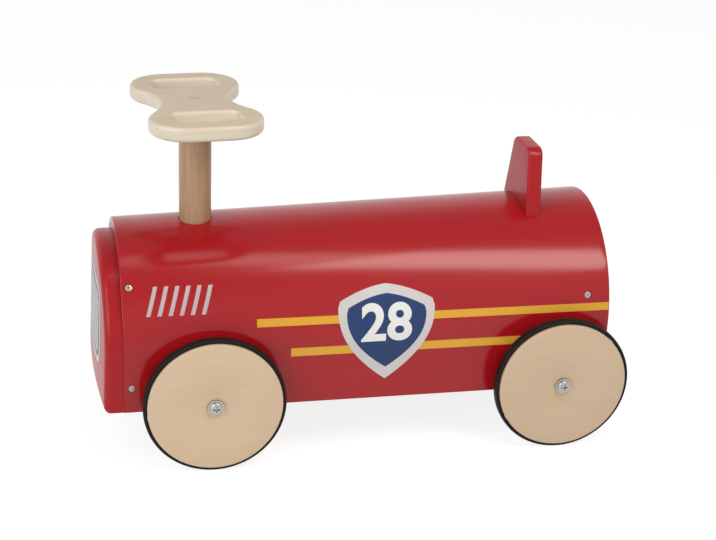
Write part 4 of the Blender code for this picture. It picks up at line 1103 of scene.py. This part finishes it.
def add_nose_print(inks):
    """A plain grille: a silver frame round dark slots and silver bars."""
    centre_v = EDGE_Z + GRILLE_CENTRE
    bars = []
    for index in range(-GRILLE_BARS_EACH_SIDE, GRILLE_BARS_EACH_SIDE + 1):
        u = GRILLE_BAR_PITCH * index
        at_end = abs(index) == GRILLE_BARS_EACH_SIDE
        half = GRILLE_END_BAR_HALF_HEIGHT if at_end else GRILLE_BAR_HALF_HEIGHT
        bars.append(rectangle(u - GRILLE_BAR_HALF_WIDTH, centre_v - half, u + GRILLE_BAR_HALF_WIDTH,
                              centre_v + half))
    prints = (
        ("grille_frame", [[rounded_rectangle(centre_v, *GRILLE_FRAME, GRILLE_CORNER_STEPS)]], "silver"),
        ("grille_field", [[rounded_rectangle(centre_v, *GRILLE_FIELD, GRILLE_CORNER_STEPS)]], "dark"),
        ("grille_bars", bars, "silver"),
    )
    for level, (name, shapes, ink) in enumerate(prints):
        print_piece(name, shapes, nose_placer(level), inks[ink], GRILLE_STEPS)


# Studio

def area_light(name, place, target, length, width, power, colour, along):
    data = bpy.data.lights.new(name, "AREA")
    data.shape = "RECTANGLE"
    data.size = length
    data.size_y = width
    data.energy = power
    data.color = colour
    light = add_object(name, data)
    direction = (Vector(target) - Vector(place)).normalized()
    if along is None:
        light.rotation_euler = direction.to_track_quat("-Z", "Y").to_euler()
    else:
        x_axis = (Vector(along) - direction * Vector(along).dot(direction)).normalized()
        y_axis = (-direction).cross(x_axis)
        light.rotation_euler = Matrix((x_axis, y_axis, -direction)).transposed().to_euler()
    light.location = place


def seen_directly(tree, in_reflection=1.0):
    """One for what the camera sees directly, the given share in a reflection, and none for lighting."""
    path = add_node(tree, "ShaderNodeLightPath", {}).outputs
    seen = math_node(tree, "MAXIMUM", path["Is Camera Ray"], path["Is Transmission Ray"])
    return math_node(tree, "MAXIMUM", seen, share_of(tree, path["Is Glossy Ray"], in_reflection))


def add_world():
    world = bpy.data.worlds.new("studio_world")
    world.use_nodes = True
    tree = world.node_tree
    height = axis_of(tree, own_place(tree, "Generated"), 2)
    in_reflection = spread(tree, height, CEILING_START, CEILING_END, 1.0, CEILING_STRENGTH)
    strength = spread(tree, seen_directly(tree, in_reflection), 0.0, 1.0, WORLD_STRENGTH, 1.0)
    feed(tree, tree.nodes["Background"], {"Color": WHITE, "Strength": strength})
    bpy.context.scene.world = world


def add_floor():
    bm = bmesh.new()
    bmesh.ops.create_grid(bm, x_segments=1, y_segments=1, size=FLOOR_HALF_SIZE)
    floor = object_from(bm, "studio_floor")
    floor.location = (0.0, 0.0, FLOOR_HEIGHT)
    material, tree, shader = start_material("studio_paper")
    feed(tree, shader, {
        "Base Color": FLOOR_COLOUR,
        "Roughness": FLOOR_ROUGHNESS,
        "Specular IOR Level": FLOOR_GLOSS,
    })
    glow = add_node(tree, "ShaderNodeEmission", {"Color": WHITE, "Strength": FLOOR_GLOW_STRENGTH})
    share = share_of(tree, seen_directly(tree), FLOOR_GLOW)
    mixed = add_node(tree, "ShaderNodeMixShader", {0: share, 1: shader.outputs[0], 2: glow.outputs[0]})
    feed(tree, tree.nodes["Material Output"], {"Surface": mixed.outputs[0]})
    floor.data.materials.append(material)


def add_camera():
    right_level = Vector((math.cos(CAMERA_YAW), -math.sin(CAMERA_YAW), 0.0))
    forward = Vector((math.sin(CAMERA_YAW) * math.cos(CAMERA_PITCH),
                      math.cos(CAMERA_YAW) * math.cos(CAMERA_PITCH),
                      -math.sin(CAMERA_PITCH)))
    up_level = right_level.cross(forward)
    right = math.cos(CAMERA_ROLL) * right_level + math.sin(CAMERA_ROLL) * up_level
    up = -math.sin(CAMERA_ROLL) * right_level + math.cos(CAMERA_ROLL) * up_level
    data = bpy.data.cameras.new("photo_camera")
    data.lens = CAMERA_LENS
    data.sensor_width = CAMERA_SENSOR
    camera = add_object("photo_camera", data)
    pose = Matrix((right, up, -forward)).transposed().to_4x4()
    pose.translation = Vector((FRONT_AXLE.x, 0.0, FRONT_AXLE.z)) + CAMERA_FROM_AXLE
    camera.matrix_world = pose
    bpy.context.scene.camera = camera


def build_car():
    """Every piece of the car, each with its own material."""
    red = make_lacquer("shell_lacquer", gloss=0.06, coat=0.70)
    bare = make_wood("bare_plywood", BARE_PLYWOOD, 0.65, coat=0.0)
    red_board = make_lacquer("board_lacquer", gloss=0.13, coat=0.35, grain_turn=(0.0, QUARTER_TURN, 0.0))
    # Direction of each wheel's grain, in degrees
    turns = {"front_left": 8.0, "front_right": 63.0, "rear_left": -14.0, "rear_right": 101.0}
    wheel_ply = (WHEEL_OUTER - WHEEL_INNER) / (WHEEL_PLIES - 1)
    woods = {}
    for index, (label, degrees) in enumerate(turns.items()):
        # Painted shade: rear wheels darker than the front ones
        painted_wheel_shade = WHEEL_SHADE_REAR if "rear" in label else WHEEL_SHADE_FRONT
        birch = [tuple(painted_wheel_shade * channel for channel in colour) for colour in WHEEL_BIRCH]
        woods[label] = make_wood(
            label + "_birch", birch, 0.46, turn=(0.0, math.radians(degrees), 0.0),
            shift=(0.31 * index, 0.0, 0.17 * index), ring_scale=7.0, contrast=0.40,
            layers=(1, WHEEL_INNER - wheel_ply / 2, wheel_ply))
    across = (0.0, 0.0, QUARTER_TURN)
    beam = make_wood("beam_plywood", BEAM_PLYWOOD, 0.60, turn=across, coat=0.0, layers=(2, 0.0, BEAM_PLY),
                     end_grain_and_shade_axis=1)
    block = make_wood("block_beech", BLOCK_BEECH, 0.60, turn=across, shift=(0.4, 0.2, 0.0), coat=0.0,
                      end_grain_and_shade_axis=1)
    column = make_wood("column_beech", COLUMN_BEECH, 0.42, turn=(0.0, QUARTER_TURN, 0.0), ring_scale=9.0,
                       contrast=0.70, coat=0.20)
    # Painted shade: the handle's top and bottom faces are darkened against its lighter edges
    handle = make_wood("handle_maple", HANDLE_MAPLE, 0.42, turn=(0.0, 0.0, -HANDLE_REST_TURN),
                       shift=(0.1, 0.5, 0.2), contrast=0.50, coat=0.20, end_grain_and_shade_axis=2)
    dowel = make_wood("dowel_beech", DOWEL_BEECH, 0.50, shift=(0.7, 0.1, 0.3), ring_scale=12.0)
    rubber = make_rubber()
    steel = make_hard("zinc_steel", *ZINC_PLATED_STEEL)
    nylon = make_hard("grey_nylon_part", *GREY_NYLON)
    make_shell(red, bare)
    make_nose(red_board)
    make_backrest(red_board)
    make_handle_board(handle)
    make_column(column, dowel)
    make_shell_screws(steel)
    make_wheels(woods, rubber, nylon, steel)
    plain_nodes = (
        ("front_bulkhead rear_bulkhead", red_board, BLOCK_ROUNDING),
        ("front_axle_beam rear_axle_beam", beam, BLOCK_ROUNDING),
        ("column_block backrest_cleat", block, BLOCK_ROUNDING),
        ("stop_dowel_left stop_dowel_right handle_dowel_front handle_dowel_rear", dowel, DOWEL_ROUNDING),
        (" ".join(label + "_hub_bushing" for label in turns), nylon, METAL_ROUNDING),
        ("stop_pin spigot_washer spigot_screw handle_screw nose_screw_left nose_screw_right "
         "backrest_screw_left backrest_screw_right", steel, METAL_ROUNDING),
    )
    for nodes, material, radius in plain_nodes:
        for node in nodes.split():
            stand_for(node, refined(node, radius), material)


build_car()
printed_inks = {name: make_print(name + "_ink", *ink) for name, ink in INKS.items()}
add_side_prints(printed_inks)
add_nose_print(printed_inks)
add_world()
for light in LIGHTS:
    area_light(*light)
add_floor()
add_camera()
bpy.context.scene.view_settings.view_transform = "Standard"
